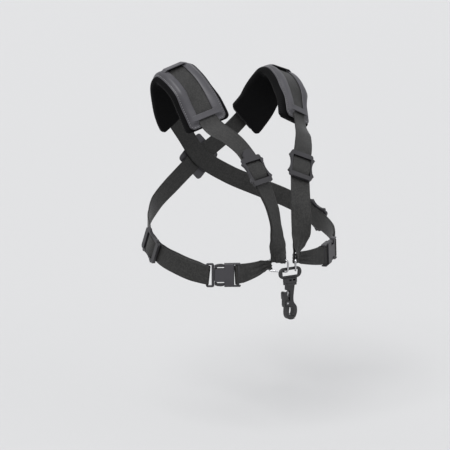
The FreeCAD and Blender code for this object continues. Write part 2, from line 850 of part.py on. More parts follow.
def build_eye():
    """Wide loop that hangs on both rings, with the swivel block under it."""
    node = "hook_eye"
    face = "sizes.eye_thick / 2"
    straight = "(sizes.eye_width - sizes.eye_height) / 2"
    bottom = "sizes.eye_bar / 2 - sizes.eye_height"
    middle = (size("eye_bar") - size("eye_height")) / 2
    reach = (size("eye_width") - size("eye_height")) / 2
    parts = [
        box(f"{node}_bar", (f"-{straight}", straight), (f"-{face}", face), (bottom, "sizes.eye_bar / 2"))
    ]
    for sx in (-1, 1):
        base = (sx * reach, -size("eye_thick") / 2, middle)
        parts.append(rod(f"{node}_end", "sizes.eye_height / 2", "sizes.eye_thick", base, (0, 1, 0)))
    loop = fuse(f"{node}_loop", parts)
    half = size("eye_opening") / 2
    high = -size("eye_bar") / 2
    low = high - size("eye_opening_height")
    slant = size("opening_slant")
    outline = [
        (half - slant, high),
        (half, high - slant),
        (half - 0.5, low),
        (0.5 - half, low),
        (-half, high - slant),
        (slant - half, high),
        (half - slant, high),
    ]
    opening = extruded(f"{node}_opening", lines(outline), "3 * sizes.eye_thick")
    loop = cut(f"{node}_pierced", loop, [opening])

    def on_a_face(edge):
        return abs(abs(edge.CenterOfMass.y) - size("eye_thick") / 2) < 0.01

    loop = rounded(f"{node}_soft", loop, size("eye_edge"), on_a_face)
    block = box(
        f"{node}_block",
        ("-sizes.block_width / 2", "sizes.block_width / 2"),
        ("-sizes.block_depth / 2", "sizes.block_depth / 2"),
        (f"{BLOCK_BOTTOM}", f"{BLOCK_BOTTOM} + sizes.block_height"),
    )
    block = rounded(f"{node}_block_edges", block, size("block_edge"), runs_along((0, 0, 1)))
    floor = BLOCK_BOTTOM + size("socket_floor")
    under = (0, 0, BLOCK_BOTTOM - 0.5)
    bore = rod(f"{node}_bore", "sizes.stem_radius + sizes.fit_gap", 3.5, under, (0, 0, 1))
    socket_radius = "sizes.head_radius + sizes.socket_play"
    socket = rod(f"{node}_socket", socket_radius, "sizes.socket_height", (0, 0, floor), (0, 0, 1))
    tools = [bore, socket]
    rise = (f"{floor}", f"{floor} + sizes.socket_window")
    for reach in (("-4.6", "-1.2"), ("1.2", "4.6")):
        tools.append(box(f"{node}_window", reach, (f"-{THROUGH}", "0"), rise))
    eye = cut(f"{node}_bored", fuse(f"{node}_solid", [loop, block]), tools)
    keep(eye, node, FreeCAD.Placement(Vector(0, EYE_Y, EYE_AXIS_Z), FreeCAD.Rotation()))


def build_hook():
    """Hook body, sprung jaw, its pin and its spring; local z = 0 at the block's underside."""
    placement = FreeCAD.Placement(Vector(0, EYE_Y, HOOK_TOP), FreeCAD.Rotation())
    pivot_x = -size("pivot_in")
    pivot_z = -size("pivot_drop")
    edges = (
        lines([(-6.0, -1.2), (5.2, -1.2)])
        + curve([(5.2, -1.2), (4.5, -10.0), (3.6, -20.0), (4.6, -25.5), (8.4, -30.5), (9.5, -35.0),
                 (9.2, -39.5), (7.8, -43.3), (6.4, -45.6)])
        + lines([(6.4, -45.6), (1.7, -41.3)])
        + curve([(1.7, -41.3), (3.0, -38.8), (3.3, -35.5), (2.4, -32.6), (0.0, -31.3)])
        + lines([(0.0, -31.3), (-2.2, -31.3), (-2.2, -10.5), (-6.0, -9.5), (-6.0, -1.2)])
    )
    shank = extruded("hook_shank", edges, "sizes.hook_thick")

    def on_a_face(edge):
        return abs(abs(edge.CenterOfMass.y) - size("hook_thick") / 2) < 0.01

    shank = rounded("hook_shank_soft", shank, size("hook_edge"), on_a_face)
    collar = box(
        "hook_collar",
        ("-sizes.collar_width / 2", "sizes.collar_width / 2"),
        ("-sizes.collar_depth / 2", "sizes.collar_depth / 2"),
        ("-sizes.collar_drop - sizes.collar_thick", "-sizes.collar_drop"),
    )
    collar = rounded("hook_collar_soft", collar, size("collar_edge"), runs_along((0, 0, 1)))
    stem = rod("hook_stem", "sizes.stem_radius", 5.2, (0, 0, -2.0), (0, 0, 1))
    head = rod("hook_head", "sizes.head_radius", "sizes.head_thick", (0, 0, 2.8), (0, 0, 1))
    parts = [shank, collar, stem, head]
    for near in (size("cheek_inner"), -size("cheek_inner") - size("cheek_thick")):
        base = (pivot_x, near, pivot_z)
        parts.append(rod("hook_cheek", "sizes.cheek_radius", "sizes.cheek_thick", base, (0, 1, 0)))
        faces = (near, f"{near} + sizes.cheek_thick")
        parts.append(box("hook_link", (pivot_x, "-1.5"), faces, (pivot_z - 2.8, pivot_z + 2.8)))
    bore = rod("hook_pin_bore", "sizes.pin_radius", THROUGH, (pivot_x, -THROUGH / 2, pivot_z), (0, 1, 0))
    keep(cut("hook_body_bored", fuse("hook_body_solid", parts), [bore]), "hook_body", placement)

    edges = (
        curve([(5.9, -46.1), (3.0, -47.1), (0.0, -47.3), (-3.8, -46.3), (-6.7, -43.0), (-7.7, -38.0),
               (-7.6, -32.0)])
        + lines([(-7.6, -32.0), (-9.6, -30.6), (-10.2, -28.0), (-10.2, -20.9), (-11.2, -20.5)])
        + curve([(-11.2, -20.5), (-11.7, -16.0), (-11.3, -12.0), (-9.8, -11.2)])
        + lines([(-9.8, -11.2), (-7.6, -11.5), (-5.4, -18.0), (-3.9, -22.0), (-2.7, -26.0), (-2.7, -31.8)])
        + curve([(-2.7, -31.8), (-3.3, -35.5), (-3.1, -39.2), (-1.9, -41.6), (-0.2, -42.4), (1.2, -41.8)])
        + lines([(1.2, -41.8), (5.9, -46.1)])
    )
    jaw = extruded("jaw_plate", edges, "sizes.jaw_thick")
    bore_base = (pivot_x, -THROUGH / 2, pivot_z)
    tools = [rod("jaw_bore", "sizes.pin_radius + sizes.pin_play", THROUGH, bore_base, (0, 1, 0))]
    for base_y in (size("jaw_web") / 2, -size("jaw_web") / 2 - THROUGH):
        base = (pivot_x, base_y, pivot_z)
        tools.append(rod("jaw_relief", "sizes.cheek_radius + sizes.cheek_play", THROUGH, base, (0, 1, 0)))
    for groove_z in (-13.2, -15.0, -16.8, -18.6):
        base = (-GROOVE_X, -THROUGH / 2, groove_z)
        tools.append(rod("jaw_groove", "sizes.groove_radius", THROUGH, base, (0, 1, 0)))
    keep(cut("jaw_finished", jaw, tools), "hook_jaw", placement)

    pin_base = (pivot_x, -size("hook_thick") / 2, pivot_z)
    keep(rod("pin", "sizes.pin_radius", "sizes.hook_thick", pin_base, (0, 1, 0)), "jaw_pin", placement)

    leaf = (
        lines([(-2.2, -12.0), (-2.2, -22.0), (-2.8, -22.0), (-2.8, -12.9)])
        + curve([(-2.8, -12.9), (-3.6, -12.0), (-4.6, -12.4)])
        + lines([(-4.6, -12.4), (-5.4, -15.0), (-6.0, -14.8), (-5.2, -11.9)])
        + curve([(-5.2, -11.9), (-3.8, -11.2), (-2.2, -12.0)])
    )
    keep(extruded("leaf", leaf, "sizes.jaw_web"), "jaw_spring", placement)


def build_patch():
    """Square patch sewn over the crossing on the back."""
    half = "sizes.patch_size / 2"
    plate = box("patch", (f"-{half}", half), ("0", "sizes.patch_thick"), (f"-{half}", half))
    plate = rounded("patch_corners", plate, size("patch_corner"), runs_along((0, 1, 0)))
    point = shoulder["left"].place(shoulder["left"].nearest(SHOULDER_STATIONS[CROSSING][0]))[0]
    point = Vector(0, point.y + HALF_STRAP + PATCH_GAP, point.z)
    keep(plate, "back_cross_patch", FreeCAD.Placement(point, FreeCAD.Rotation(Vector(0, 1, 0), 45)))


for name, side in SIDES.items():
    build_pad(name, shoulder[name])
    build_webbing(name, shoulder[name], belt[name])
    build_ring(name, side)
    point, along, _, out = shoulder[name].place(shoulder[name].nearest(SLIDER_POINT))
    build_slider(f"{name}_front_slider", frame_at(point, along.cross(out), along), name == "right")
    point, along, _, out = belt[name].place(belt[name].nearest(SIDE_SLIDER_POINT))
    build_slider(f"{name}_side_slider", frame_at(point, along.cross(out), along), False)
    build_buckle(name, belt_frame(belt[name].place(belt[name].nearest(BUCKLE_POINT))))
build_eye()
build_hook()
build_patch()

# ---------------------------------------------------------------- write the sub-parts
doc.recompute()
for obj in doc.Objects:
    if "Invalid" in obj.State or "Error" in obj.State:
        raise SystemExit(f"{obj.Name} ({obj.Label}) failed: {obj.State}")
os.makedirs("parts", exist_ok=True)
for obj in pieces:
    if obj.Shape.isNull() or not obj.Shape.isValid():
        raise SystemExit(f"{obj.Label} has a bad shape")
    obj.Shape.exportStep(f"parts/{obj.Label}.step")
    print(f"{obj.Label}: {obj.Shape.Volume:.0f} mm3, {len(obj.Shape.Solids)} solid")
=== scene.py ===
"""Looks of a saxophone harness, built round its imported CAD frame.

Shapes are worked out in millimetres, in the frame's axes: +Z up, the wearer faces -Y and the
wearer's left is +X. mesh_object() turns them into metres. Straps and pads are laid along the same
routes as the CAD solids that they stand for. A piece of cloth keeps each point's place in its own
cloth, along it and across it, in the attribute "lay", and its weave follows that.
"""

import bisect
import math

import bmesh
import bpy
from mathutils import Matrix, Vector


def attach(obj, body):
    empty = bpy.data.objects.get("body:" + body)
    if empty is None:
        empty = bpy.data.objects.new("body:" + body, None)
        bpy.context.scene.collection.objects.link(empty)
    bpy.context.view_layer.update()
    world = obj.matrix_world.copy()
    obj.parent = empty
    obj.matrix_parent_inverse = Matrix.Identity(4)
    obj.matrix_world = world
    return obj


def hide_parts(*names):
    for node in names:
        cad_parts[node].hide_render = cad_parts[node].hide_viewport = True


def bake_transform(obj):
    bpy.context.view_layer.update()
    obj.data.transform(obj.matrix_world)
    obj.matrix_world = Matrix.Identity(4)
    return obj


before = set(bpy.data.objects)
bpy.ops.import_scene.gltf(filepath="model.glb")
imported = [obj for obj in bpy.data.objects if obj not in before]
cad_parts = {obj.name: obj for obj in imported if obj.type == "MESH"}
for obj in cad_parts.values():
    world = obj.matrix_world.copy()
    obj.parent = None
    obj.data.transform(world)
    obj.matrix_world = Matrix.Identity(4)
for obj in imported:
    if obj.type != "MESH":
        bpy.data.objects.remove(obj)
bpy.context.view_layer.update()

MM = 0.001
SIDES = {"left": 1, "right": -1}
UP = Vector((0.0, 0.0, 1.0))
SQUARE = ((-1, -1), (1, -1), (1, 1), (-1, 1))

# ---------------------------------------------------------------- sizes shared with the CAD parts
TAPE_WIDTH = 25.0
TAPE_THICK = 1.5
HALF_TAPE = TAPE_THICK / 2
LAYER_GAP = 0.3
PAD_LENGTH = 190.0
PAD_WIDTH = 66.0
FOAM_THICK = 9.0
COVER_WIDTH = 50.0
COVER_THICK = 1.2
COVER_INSET = 3.0
CHANNEL_WIDTH = 26.0
KEEPER_LENGTH = 8.0
FRONT_KEEPER_FROM_END = 15.0
STRAIGHT_FRONT = 18.0
WIRE = 2.4
RING_WIDTH = 27.0
RING_HEIGHT = 17.0
RING_CENTRE = Vector((13.3, -90.1, -236.95))
RING_AXIS = Vector((0.6, 0.8, 0.0))
FEMALE_BAR = 17.0
MALE_BAR = 21.2
BAR_DEPTH = 3.0
PATCH_SIZE = 46.0
PATCH_THICK = 2.0
PATCH_GAP = 0.4
END_GAP = 0.6

# The cover's seam, which the CAD solids don't have.
STITCH_INSET = 2.0
SEAM_ACROSS = COVER_WIDTH / 2 - STITCH_INSET
# Half width of the painted shade along the seam's groove.
SEAM_SHADE_HALF = 1.1

# ---------------------------------------------------------------- routes
# A station is (x, y, z) and the outward direction there, for the wearer's left side.
SHOULDER_STATIONS = [
    ((13.3, -90.1, -228.0), (0.80, -0.60, 0.00)),
    ((17.0, -94.0, -213.0), (0.15, -0.98, 0.00)),
    ((18.7, -95.0, -199.0), (-0.30, -0.95, 0.05)),
    ((19.5, -93.5, -183.0), (-0.44, -0.89, 0.12)),
    ((22.0, -89.0, -162.0), (-0.34, -0.90, 0.28)),
    ((28.5, -79.5, -137.0), (-0.14, -0.84, 0.52)),
    ((34.8, -70.3, -119.0), (-0.05, -0.83, 0.56)),
    ((44.4, -55.0, -99.4), (0.05, -0.70, 0.71)),
    ((56.4, -32.3, -83.1), (0.25, -0.63, 0.74)),
    ((69.4, -6.5, -67.6), (0.42, -0.72, 0.55)),
    ((75.7, 7.0, -45.8), (0.38, -0.81, 0.44)),
    ((80.3, 20.9, -24.8), (0.24, -0.68, 0.69)),
    ((84.1, 40.8, -9.7), (0.29, -0.38, 0.88)),
    ((85.0, 59.6, -4.0), (0.30, 0.15, 0.94)),
    ((85.0, 75.0, -11.0), (0.28, 0.65, 0.70)),
    ((77.0, 88.0, -32.0), (0.22, 0.88, 0.42)),
    ((66.0, 95.0, -56.0), (0.16, 0.95, 0.25)),
    ((36.0, 101.0, -90.0), (0.05, 0.99, 0.10)),
    ((0.0, 103.0, -122.0), (0.00, 1.00, 0.00)),
    ((-42.0, 98.0, -149.0), (-0.15, 0.98, -0.05)),
    ((-82.0, 82.0, -170.0), (-0.50, 0.86, -0.08)),
    ((-110.0, 58.0, -186.0), (-0.86, 0.50, -0.05)),
    ((-124.0, 36.0, -199.0), (-0.98, 0.18, 0.00)),
]
BELT_STATIONS = [
    ((24.5, -78.0, -237.0), (0.10, -0.99, 0.00)),
    ((38.0, -81.5, -238.0), (0.12, -0.99, 0.00)),
    ((54.0, -81.0, -238.5), (0.25, -0.97, 0.00)),
    ((70.0, -76.7, -238.5), (0.45, -0.89, 0.00)),
    ((82.0, -71.0, -238.3), (0.50, -0.87, 0.00)),
    ((100.6, -58.0, -236.5), (0.65, -0.76, 0.00)),
    ((113.0, -44.5, -232.0), (0.82, -0.57, 0.02)),
    ((123.0, -27.0, -225.5), (0.94, -0.34, 0.05)),
    ((129.0, -3.0, -218.5), (0.99, -0.08, 0.03)),
    ((128.0, 20.0, -209.0), (0.99, 0.10, 0.03)),
    ((124.0, 36.0, -199.0), (0.98, 0.18, 0.00)),
]
CROSSING = 18
CROSSING_LIFT = 1.6
LEAN_AT_SHOULDERS = -0.057
LEAN_AT_BELT = 0.067
BELT_HEIGHT = -238.0
SHOULDER_SWAY = 13.4
SWAY_FROM = -122.0
SWAY_FULL = -77.0
SLIDER_POINT = (34.8, -70.3, -119.0)
PAD_FRONT_POINT = (69.4, -6.5, -67.6)
BUCKLE_POINT = (82.0, -71.0, -238.3)
SIDE_SLIDER_POINT = (128.0, 20.0, -209.0)


def mix(a, b, share):
    return a + (b - a) * share


def smooth(x):
    """Ease from 0 to 1."""
    x = min(max(x, 0.0), 1.0)
    return x * x * (3.0 - 2.0 * x)


def mirrored(point, side):
    return Vector((side * point[0], point[1], point[2]))


def worn(point):
    """As worn: one shoulder and the other hip are carried higher, and the shoulders sway aside."""
    lean = mix(LEAN_AT_SHOULDERS, LEAN_AT_BELT, point.z / BELT_HEIGHT)
    sway = SHOULDER_SWAY * smooth((point.z - SWAY_FROM) / (SWAY_FULL - SWAY_FROM))
    return Vector((point.x + sway, point.y, point.z + lean * point.x))


class Place:
    """A place on a route, with its directions of travel, across and outward."""

    def __init__(self, point, along, across, out):
        self.point = point
        self.along = along
        self.across = across
        self.out = out

    def at(self, across=0.0, out=0.0):
        return self.point + self.across * across + self.out * out


class Route:
    """A smooth line through stations, read by distance along it, mirrored for the right side."""

    STEPS = 24
    NUDGE = 0.02

    def __init__(self, stations, side):
        self.points = [worn(mirrored(point, side)) for point, _ in stations]
        self.outs = [mirrored(out, side).normalized() for _, out in stations]
        self.side = side
        self.travelled = []
        self.where = []
        distance = 0.0
        last = self.points[0]
        for span in range(len(self.points) - 1):
            for step in range(self.STEPS):
                here = self.at_span(span, step / self.STEPS)
                distance += (here - last).length
                last = here
                self.travelled.append(distance)
                self.where.append(span + step / self.STEPS)
        self.length = distance + (self.points[-1] - last).length
        self.travelled.append(self.length)
        self.where.append(len(self.points) - 1.0)

    def slope(self, i):
        before = self.points[max(i - 1, 0)]
        after = self.points[min(i + 1, len(self.points) - 1)]
        return (after - before).normalized()

    def at_span(self, span, share):
        a = self.points[span]
        b = self.points[span + 1]
        chord = (b - a).length
        u, v = share, 1.0 - share
        bend = self.slope(span) * (chord * u * v * v) - self.slope(span + 1) * (chord * u * u * v)
        return a * (v * v * (1.0 + 2.0 * u)) + b * (u * u * (3.0 - 2.0 * u)) + bend

    def place(self, distance):
        distance = min(max(distance, 0.0), self.length)
        i = min(max(bisect.bisect_left(self.travelled, distance), 1), len(self.travelled) - 1)
        gap = self.travelled[i] - self.travelled[i - 1]
        part = (distance - self.travelled[i - 1]) / gap if gap > 0.0 else 0.0
        position = mix(self.where[i - 1], self.where[i], part)
        span = min(int(position), len(self.points) - 2)
        share = position - span
        ahead = self.at_span(span, min(share + self.NUDGE, 1.0))
        behind = self.at_span(span, max(share - self.NUDGE, 0.0))
        along = (ahead - behind).normalized()
        out = self.outs[span].lerp(self.outs[span + 1], smooth(share))
        out = (out - along * out.dot(along)).normalized()
        return Place(self.at_span(span, share), along, along.cross(out) * self.side, out)

    def nearest(self, target):
        """Distance along the route of the place nearest to a point of the left-side design."""
        goal = worn(mirrored(target, self.side))
        gaps = []
        for distance, position in zip(self.travelled, self.where):
            span = min(int(position), len(self.points) - 2)
            gaps.append(((self.at_span(span, position - span) - goal).length, distance))
        return min(gaps)[1]


def shoulder_stations(side):
    """At the crossing on the back the left strap passes over the right one."""
    stations = list(SHOULDER_STATIONS)
    (x, y, z), out = stations[CROSSING]
    stations[CROSSING] = ((x, y + side * CROSSING_LIFT, z), out)
    return stations


class PadLine:
    """The line of a stiff pad: its route, but straight on in front of the front keeper."""

    def __init__(self, route, straight_before):
        self.route = route
        self.straight_before = straight_before

    def place(self, distance):
        held = max(distance, self.straight_before)
        place = self.route.place(held)
        ahead = place.point + place.along * (distance - held)
        return Place(ahead, place.along, place.across, place.out)


shoulder = {name: Route(shoulder_stations(side), side) for name, side in SIDES.items()}
belt = {name: Route(BELT_STATIONS, side) for name, side in SIDES.items()}


def frame_at(point, x, y, z):
    return Matrix.Translation(point) @ Matrix((x, y, z)).transposed().to_4x4()


def belt_frame(name, distance):
    """Frame whose X runs along the belt away from the ring, Y towards the body."""
    place = belt[name].place(distance)
    x = place.along
    z = x.cross(place.out * -1.0)
    z = (z - x * z.dot(x)).normalized()
    return frame_at(place.point, x, z.cross(x), z)


def strap_frame(route, distance):
    """Frame of a slider: Y towards the body, Z along the route."""
    place = route.place(distance)
    x = place.along.cross(place.out)
    z = (place.along - x * place.along.dot(x)).normalized()
    return frame_at(place.point, x, z.cross(x), z)


# ---------------------------------------------------------------- materials
class Nodes:
    """A material's node tree, with short calls for the nodes that every material uses."""

    def __init__(self, name, **sockets):
        self.material = bpy.data.materials.new(name)
        self.material.use_nodes = True
        self.tree = self.material.node_tree
        self.shader = self.tree.nodes["Principled BSDF"]
        for socket, value in sockets.items():
            self.shader.inputs[socket.replace("_", " ")].default_value = value

    def add(self, kind, **inputs):
        node = self.tree.nodes.new("ShaderNode" + kind)
        for name, value in inputs.items():
            self.feed(node, name.replace("_", " "), value)
        return node

    def feed(self, node, name, value):
        if isinstance(value, bpy.types.NodeSocket):
            self.tree.links.new(value, node.inputs[name])
        else:
            node.inputs[name].default_value = value

    def math(self, operation, a, b=0.0, clamp=False):
        node = self.tree.nodes.new("ShaderNodeMath")
        node.operation = operation
        node.use_clamp = clamp
        self.feed(node, 0, a)
        self.feed(node, 1, b)
        return node.outputs[0]

    def times(self, a, b, clamp=False):
        return self.math("MULTIPLY", a, b, clamp)

    def plus(self, a, b):
        return self.math("ADD", a, b)

    def lay(self):
        """The place in the cloth, and the metres along it and across it."""
        node = self.add("Attribute")
        node.attribute_name = "lay"
        split = self.add("SeparateXYZ", Vector=node.outputs["Vector"])
        return node.outputs["Vector"], split.outputs["X"], split.outputs["Y"]

    def place(self):
        return self.add("TexCoord").outputs["Object"]

    def noise(self, vector, scale, detail=3.0, roughness=0.55):
        node = self.add("TexNoise", Vector=vector, Scale=scale, Detail=detail, Roughness=roughness)
        return node.outputs["Fac"]

    def ramp(self, factor, *stops):
        """Colours or greys by factor; each stop is (position, value)."""
        node = self.add("ValToRGB", Fac=factor)
        elements = node.color_ramp.elements
        while len(elements) < len(stops):
            elements.new(0.5)
        for element, (position, value) in zip(elements, stops):
            colour = value if isinstance(value, tuple) else (value, value, value)
            element.position = position
            element.color = (*colour, 1.0)
        return node.outputs["Color"]

    def blend(self, factor, a, b, mode="MIX"):
        node = self.tree.nodes.new("ShaderNodeMix")
        node.data_type = "RGBA"
        node.blend_type = mode
        self.feed(node, 0, factor)
        self.feed(node, 6, a)
        self.feed(node, 7, b)
        return node.outputs[2]

    def wave(self, metres, pitch, phase=0.0):
        """A sine from 0 to 1 with this pitch in metres."""
        angle = self.plus(self.times(metres, math.tau / pitch), phase)
        return self.plus(self.times(self.math("SINE", angle), 0.5), 0.5)

    def bump(self, height, strength, distance):
        node = self.add("Bump", Height=height, Strength=strength, Distance=distance)
        self.feed(self.shader, "Normal", node.outputs["Normal"])

    def colour(self, value):
        self.feed(self.shader, "Base Color", value)

    def rough(self, value):
        self.feed(self.shader, "Roughness", value)


def webbing_material():
    """Black woven tape: cords along it, crossed by picks, with a plain corded selvedge, and painted
    shade where the weave lies low.
    """
    n = Nodes("webbing", Sheen_Weight=0.03, Sheen_Roughness=0.4, Specular_IOR_Level=0.32)
    cord_pitch = 0.0014
    pick_pitch = 0.0019
    selvedge_from = 0.0113
    cloth, along, across = n.lay()
    cord = n.math("ABSOLUTE", n.math("SINE", n.times(across, math.pi / cord_pitch)))
    column = n.math("FLOOR", n.math("DIVIDE", across, cord_pitch))
    pick = n.wave(along, pick_pitch, n.times(column, math.pi))
    weave = n.plus(n.times(cord, 0.6), n.times(pick, 0.4))
    selvedge = n.math("GREATER_THAN", n.math("ABSOLUTE", across), selvedge_from)
    height = n.times(weave, n.math("SUBTRACT", 1.0, n.times(selvedge, 0.5)))
    wear = n.noise(cloth, 90.0, 4.0)
    mottle = n.ramp(n.noise(cloth, 480.0, 2.0), (0.42, 0.0), (0.62, 1.0))
    fuzz = n.noise(cloth, 2600.0, 2.0)
    # Painted shade: the colour darkens with the weave's height, in the hollows between cords and
    # picks; the selvedge, whose height is halved, comes out darker too.
    base = n.ramp(height, (0.1, (0.0025, 0.0025, 0.0024)), (0.95, (0.014, 0.0138, 0.0131)))
    worn_cloth = (0.016, 0.0156, 0.0146, 1.0)
    speck = (0.032, 0.031, 0.029, 1.0)
    shade = (0.004, 0.004, 0.004, 1.0)
    faded = n.blend(n.times(wear, 0.35), base, worn_cloth, "SCREEN")
    speckled = n.blend(n.times(mottle, 0.42), faded, speck, "SCREEN")
    n.colour(n.blend(n.times(fuzz, 0.35), speckled, shade))
    n.rough(n.plus(n.times(weave, -0.12), 0.54))
    n.bump(n.plus(height, n.times(fuzz, 0.25)), 0.55, 0.00035)
    return n.material


def leatherette_material():
    """Grey satin leatherette with a fine pebble grain, and painted shade in the groove of its long
    seams.
    """
    n = Nodes("leatherette", Specular_IOR_Level=0.45)
    cloth, _, across = n.lay()
    from_seam = n.math("SUBTRACT", n.math("ABSOLUTE", across), SEAM_ACROSS * MM)
    grooves_away = n.times(n.math("ABSOLUTE", from_seam), 1.0 / (SEAM_SHADE_HALF * MM))
    groove = n.math("SUBTRACT", 1.0, grooves_away, clamp=True)
    cells = n.add("TexVoronoi", Vector=cloth, Scale=1100.0)
    grain = n.math("SUBTRACT", 1.0, cells.outputs["Distance"])
    patches = n.noise(cloth, 55.0, 4.0)
    creases = n.noise(cloth, 420.0, 3.0)
    base = n.ramp(patches, (0.3, (0.038, 0.037, 0.042)), (0.75, (0.058, 0.056, 0.063)))
    grained = n.blend(n.times(grain, 0.25), base, (0.035, 0.034, 0.040, 1.0))
    # Painted shade: the seam's groove is painted near black.
    n.colour(n.blend(n.times(groove, 0.9), grained, (0.004, 0.004, 0.005, 1.0)))
    n.rough(n.plus(n.times(creases, 0.22), 0.34))
    n.bump(n.plus(grain, creases), 0.30, 0.00018)
    return n.material


def velour_material():
    """Near-black velour foam, ribbed round its sides, with painted light on the crests of its ribs
    and painted shade between them.
    """
    n = Nodes("velour", Sheen_Weight=0.05, Sheen_Roughness=0.35, Specular_IOR_Level=0.06)
    rib_pitch = 0.0027
    side_from = 0.0285
    side_over = 0.0025
    cloth, along, across = n.lay()
    rib = n.wave(along, rib_pitch)
    past_side = n.math("SUBTRACT", n.math("ABSOLUTE", across), side_from)
    side = n.times(past_side, 1.0 / side_over, clamp=True)
    ribs = n.times(rib, side)
    pile = n.noise(cloth, 1800.0, 3.0)
    base = n.ramp(pile, (0.3, (0.0018, 0.0018, 0.002)), (0.8, (0.008, 0.008, 0.0085)))
    # Painted light and shade: the ribs are painted lighter on their crests than in the hollows
    # between them.
    n.colour(n.blend(n.times(ribs, 0.5), base, (0.018, 0.018, 0.019, 1.0)))
    n.rough(n.plus(n.times(pile, 0.15), 0.8))
    n.bump(n.plus(n.times(ribs, 3.0), pile), 0.6, 0.0004)
    return n.material


def plastic_material(name, dark, light, gloss):
    """Moulded plastic: a fine spark-eroded grain, and a painted highlight that makes its convex
    edges paler.
    """
    n = Nodes(name, Specular_IOR_Level=0.5)
    place = n.place()
    grain = n.noise(place, 3200.0, 2.0)
    flow = n.noise(place, 70.0, 3.0)
    # Painted highlight: convex edges, found by pointiness, are painted paler.
    edge_highlight = n.ramp(n.add("NewGeometry").outputs["Pointiness"], (0.50, 0.0), (0.62, 1.0))
    base = n.ramp(flow, (0.3, dark), (0.8, light))
    edge = tuple(2.4 * c for c in light) + (1.0,)
    n.colour(n.blend(n.times(edge_highlight, 0.5), base, edge))
    n.rough(n.plus(n.times(flow, 0.16), gloss))
    n.bump(grain, 0.22, 0.00012)
    return n.material


def chrome_material():
    """Bright plated wire, a little dulled by handling."""
    n = Nodes("chrome", Metallic=1.0)
    place = n.place()
    smudge = n.noise(place, 160.0, 4.0)
    n.colour(n.ramp(smudge, (0.3, (0.36, 0.36, 0.37)), (0.8, (0.52, 0.52, 0.53))))
    n.rough(n.plus(n.times(smudge, 0.14), 0.10))
    n.bump(n.noise(place, 900.0, 2.0), 0.05, 0.0001)
    return n.material


def steel_material():
    """Brushed spring steel."""
    n = Nodes("spring_steel", Metallic=1.0)
    stretched = n.add("Mapping", Vector=n.place(), Scale=(4000.0, 4000.0, 300.0)).outputs["Vector"]
    brushed = n.noise(stretched, 1.0, 3.0)
    n.colour(n.ramp(brushed, (0.2, (0.38, 0.38, 0.39)), (0.8, (0.58, 0.58, 0.60))))
    n.rough(n.plus(n.times(brushed, 0.2), 0.25))
    n.bump(brushed, 0.1, 0.0001)
    return n.material


def thread_material():
    """Twisted sewing thread, paler than the cover, with painted shade in the grooves of its twist.
    """
    n = Nodes("thread", Sheen_Weight=0.2)
    twist_pitch = 0.0007
    _, along, across = n.lay()
    twist = n.wave(n.plus(along, across), twist_pitch)
    # Painted shade: the colour darkens where the twist is low, between the plies.
    n.colour(n.ramp(twist, (0.0, (0.07, 0.07, 0.075)), (1.0, (0.24, 0.235, 0.245))))
    n.rough(n.plus(n.times(twist, 0.1), 0.6))
    n.bump(twist, 0.4, 0.0001)
    return n.material


def stage_material():
    """Pale floor paper with a barely visible tooth."""
    n = Nodes("stage_paper")
    tooth = n.noise(n.place(), 400.0, 3.0)
    n.colour(n.ramp(tooth, (0.2, (0.49, 0.49, 0.49)), (0.8, (0.51, 0.51, 0.51))))
    n.rough(n.plus(n.times(tooth, 0.1), 0.85))
    return n.material


WEBBING = webbing_material()
LEATHERETTE = leatherette_material()
VELOUR = velour_material()
SATIN_PLASTIC = plastic_material(
    "satin_plastic", dark=(0.011, 0.0105, 0.0125), light=(0.019, 0.018, 0.021), gloss=0.36
)
HOOK_PLASTIC = plastic_material(
    "hook_plastic", dark=(0.006, 0.006, 0.0068), light=(0.012, 0.0118, 0.013), gloss=0.34
)
CHROME = chrome_material()
STEEL = steel_material()
THREAD = thread_material()


# ---------------------------------------------------------------- meshes
def mesh_object(name, points, faces, material, lay=None, crease=40.0):
    """Mesh from points in millimetres. lay holds each point's place in its own cloth."""
    mesh = bpy.data.meshes.new(name)
    mesh.from_pydata([Vector(p) * MM for p in points], [], faces)
    if lay is not None:
        cloth = mesh.attributes.new("lay", "FLOAT_VECTOR", "POINT")
        cloth.data.foreach_set("vector", [c * MM for place in lay for c in place])
    bm = bmesh.new()
    bm.from_mesh(mesh)
    bmesh.ops.recalc_face_normals(bm, faces=bm.faces)
    bm.to_mesh(mesh)
    bm.free()
    mesh.shade_smooth()
    mesh.set_sharp_from_angle(angle=math.radians(crease))
    mesh.materials.append(material)
    obj = bpy.data.objects.new(name, mesh)
    bpy.context.scene.collection.objects.link(obj)
    return obj


def tube_faces(first, rings, around, closed=False):
    """Quads between neighbouring rings of points, from the ring that starts at that index."""
    faces = []
    for i in range(rings if closed else rings - 1):
        here = first + i * around
        there = first + (i + 1) % rings * around
        for j in range(around):
            k = (j + 1) % around
            faces.append((here + j, here + k, there + k, there + j))
    return faces


def cap_faces(first, around):
    """Quads across a flat outline, from its two ends to its middle."""
    last = first + around - 1
    return [(first + j, first + j + 1, last - j - 1, last - j) for j in range(around // 2 - 1)]


def stands_for(obj, body, slot, *nodes):
    """The piece rides on a body and hides the CAD nodes that it shows. Its slot is not used."""
    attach(obj, body)
    if nodes:
        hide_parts(*nodes)


class Section:
    """One cross-section of a tape: where it is, how it faces, its half width and its pleats."""

    def __init__(self, point, across, out, half, pleat=0.0, shift=0.0):
        self.point = point + across * shift
        self.across = across
        self.out = out
        self.half = half
        self.pleat = pleat


EDGE_ANGLES = (172.0, 140.0, 108.0)
TAPE_COLUMNS = 22
PLEATS = 3.0


def tape_top(half, thick):
    """The upper half of a tape's outline, from one rounded edge to the other."""
    edge = thick / 2
    flat = half - edge
    left = []
    for angle in EDGE_ANGLES:
        turn = math.radians(angle)
        left.append((edge * math.cos(turn) - flat, edge * math.sin(turn)))
    middle = [(flat * (2 * i / TAPE_COLUMNS - 1), edge) for i in range(1, TAPE_COLUMNS)]
    right = [(-a, o) for a, o in reversed(left)]
    return left + middle + right


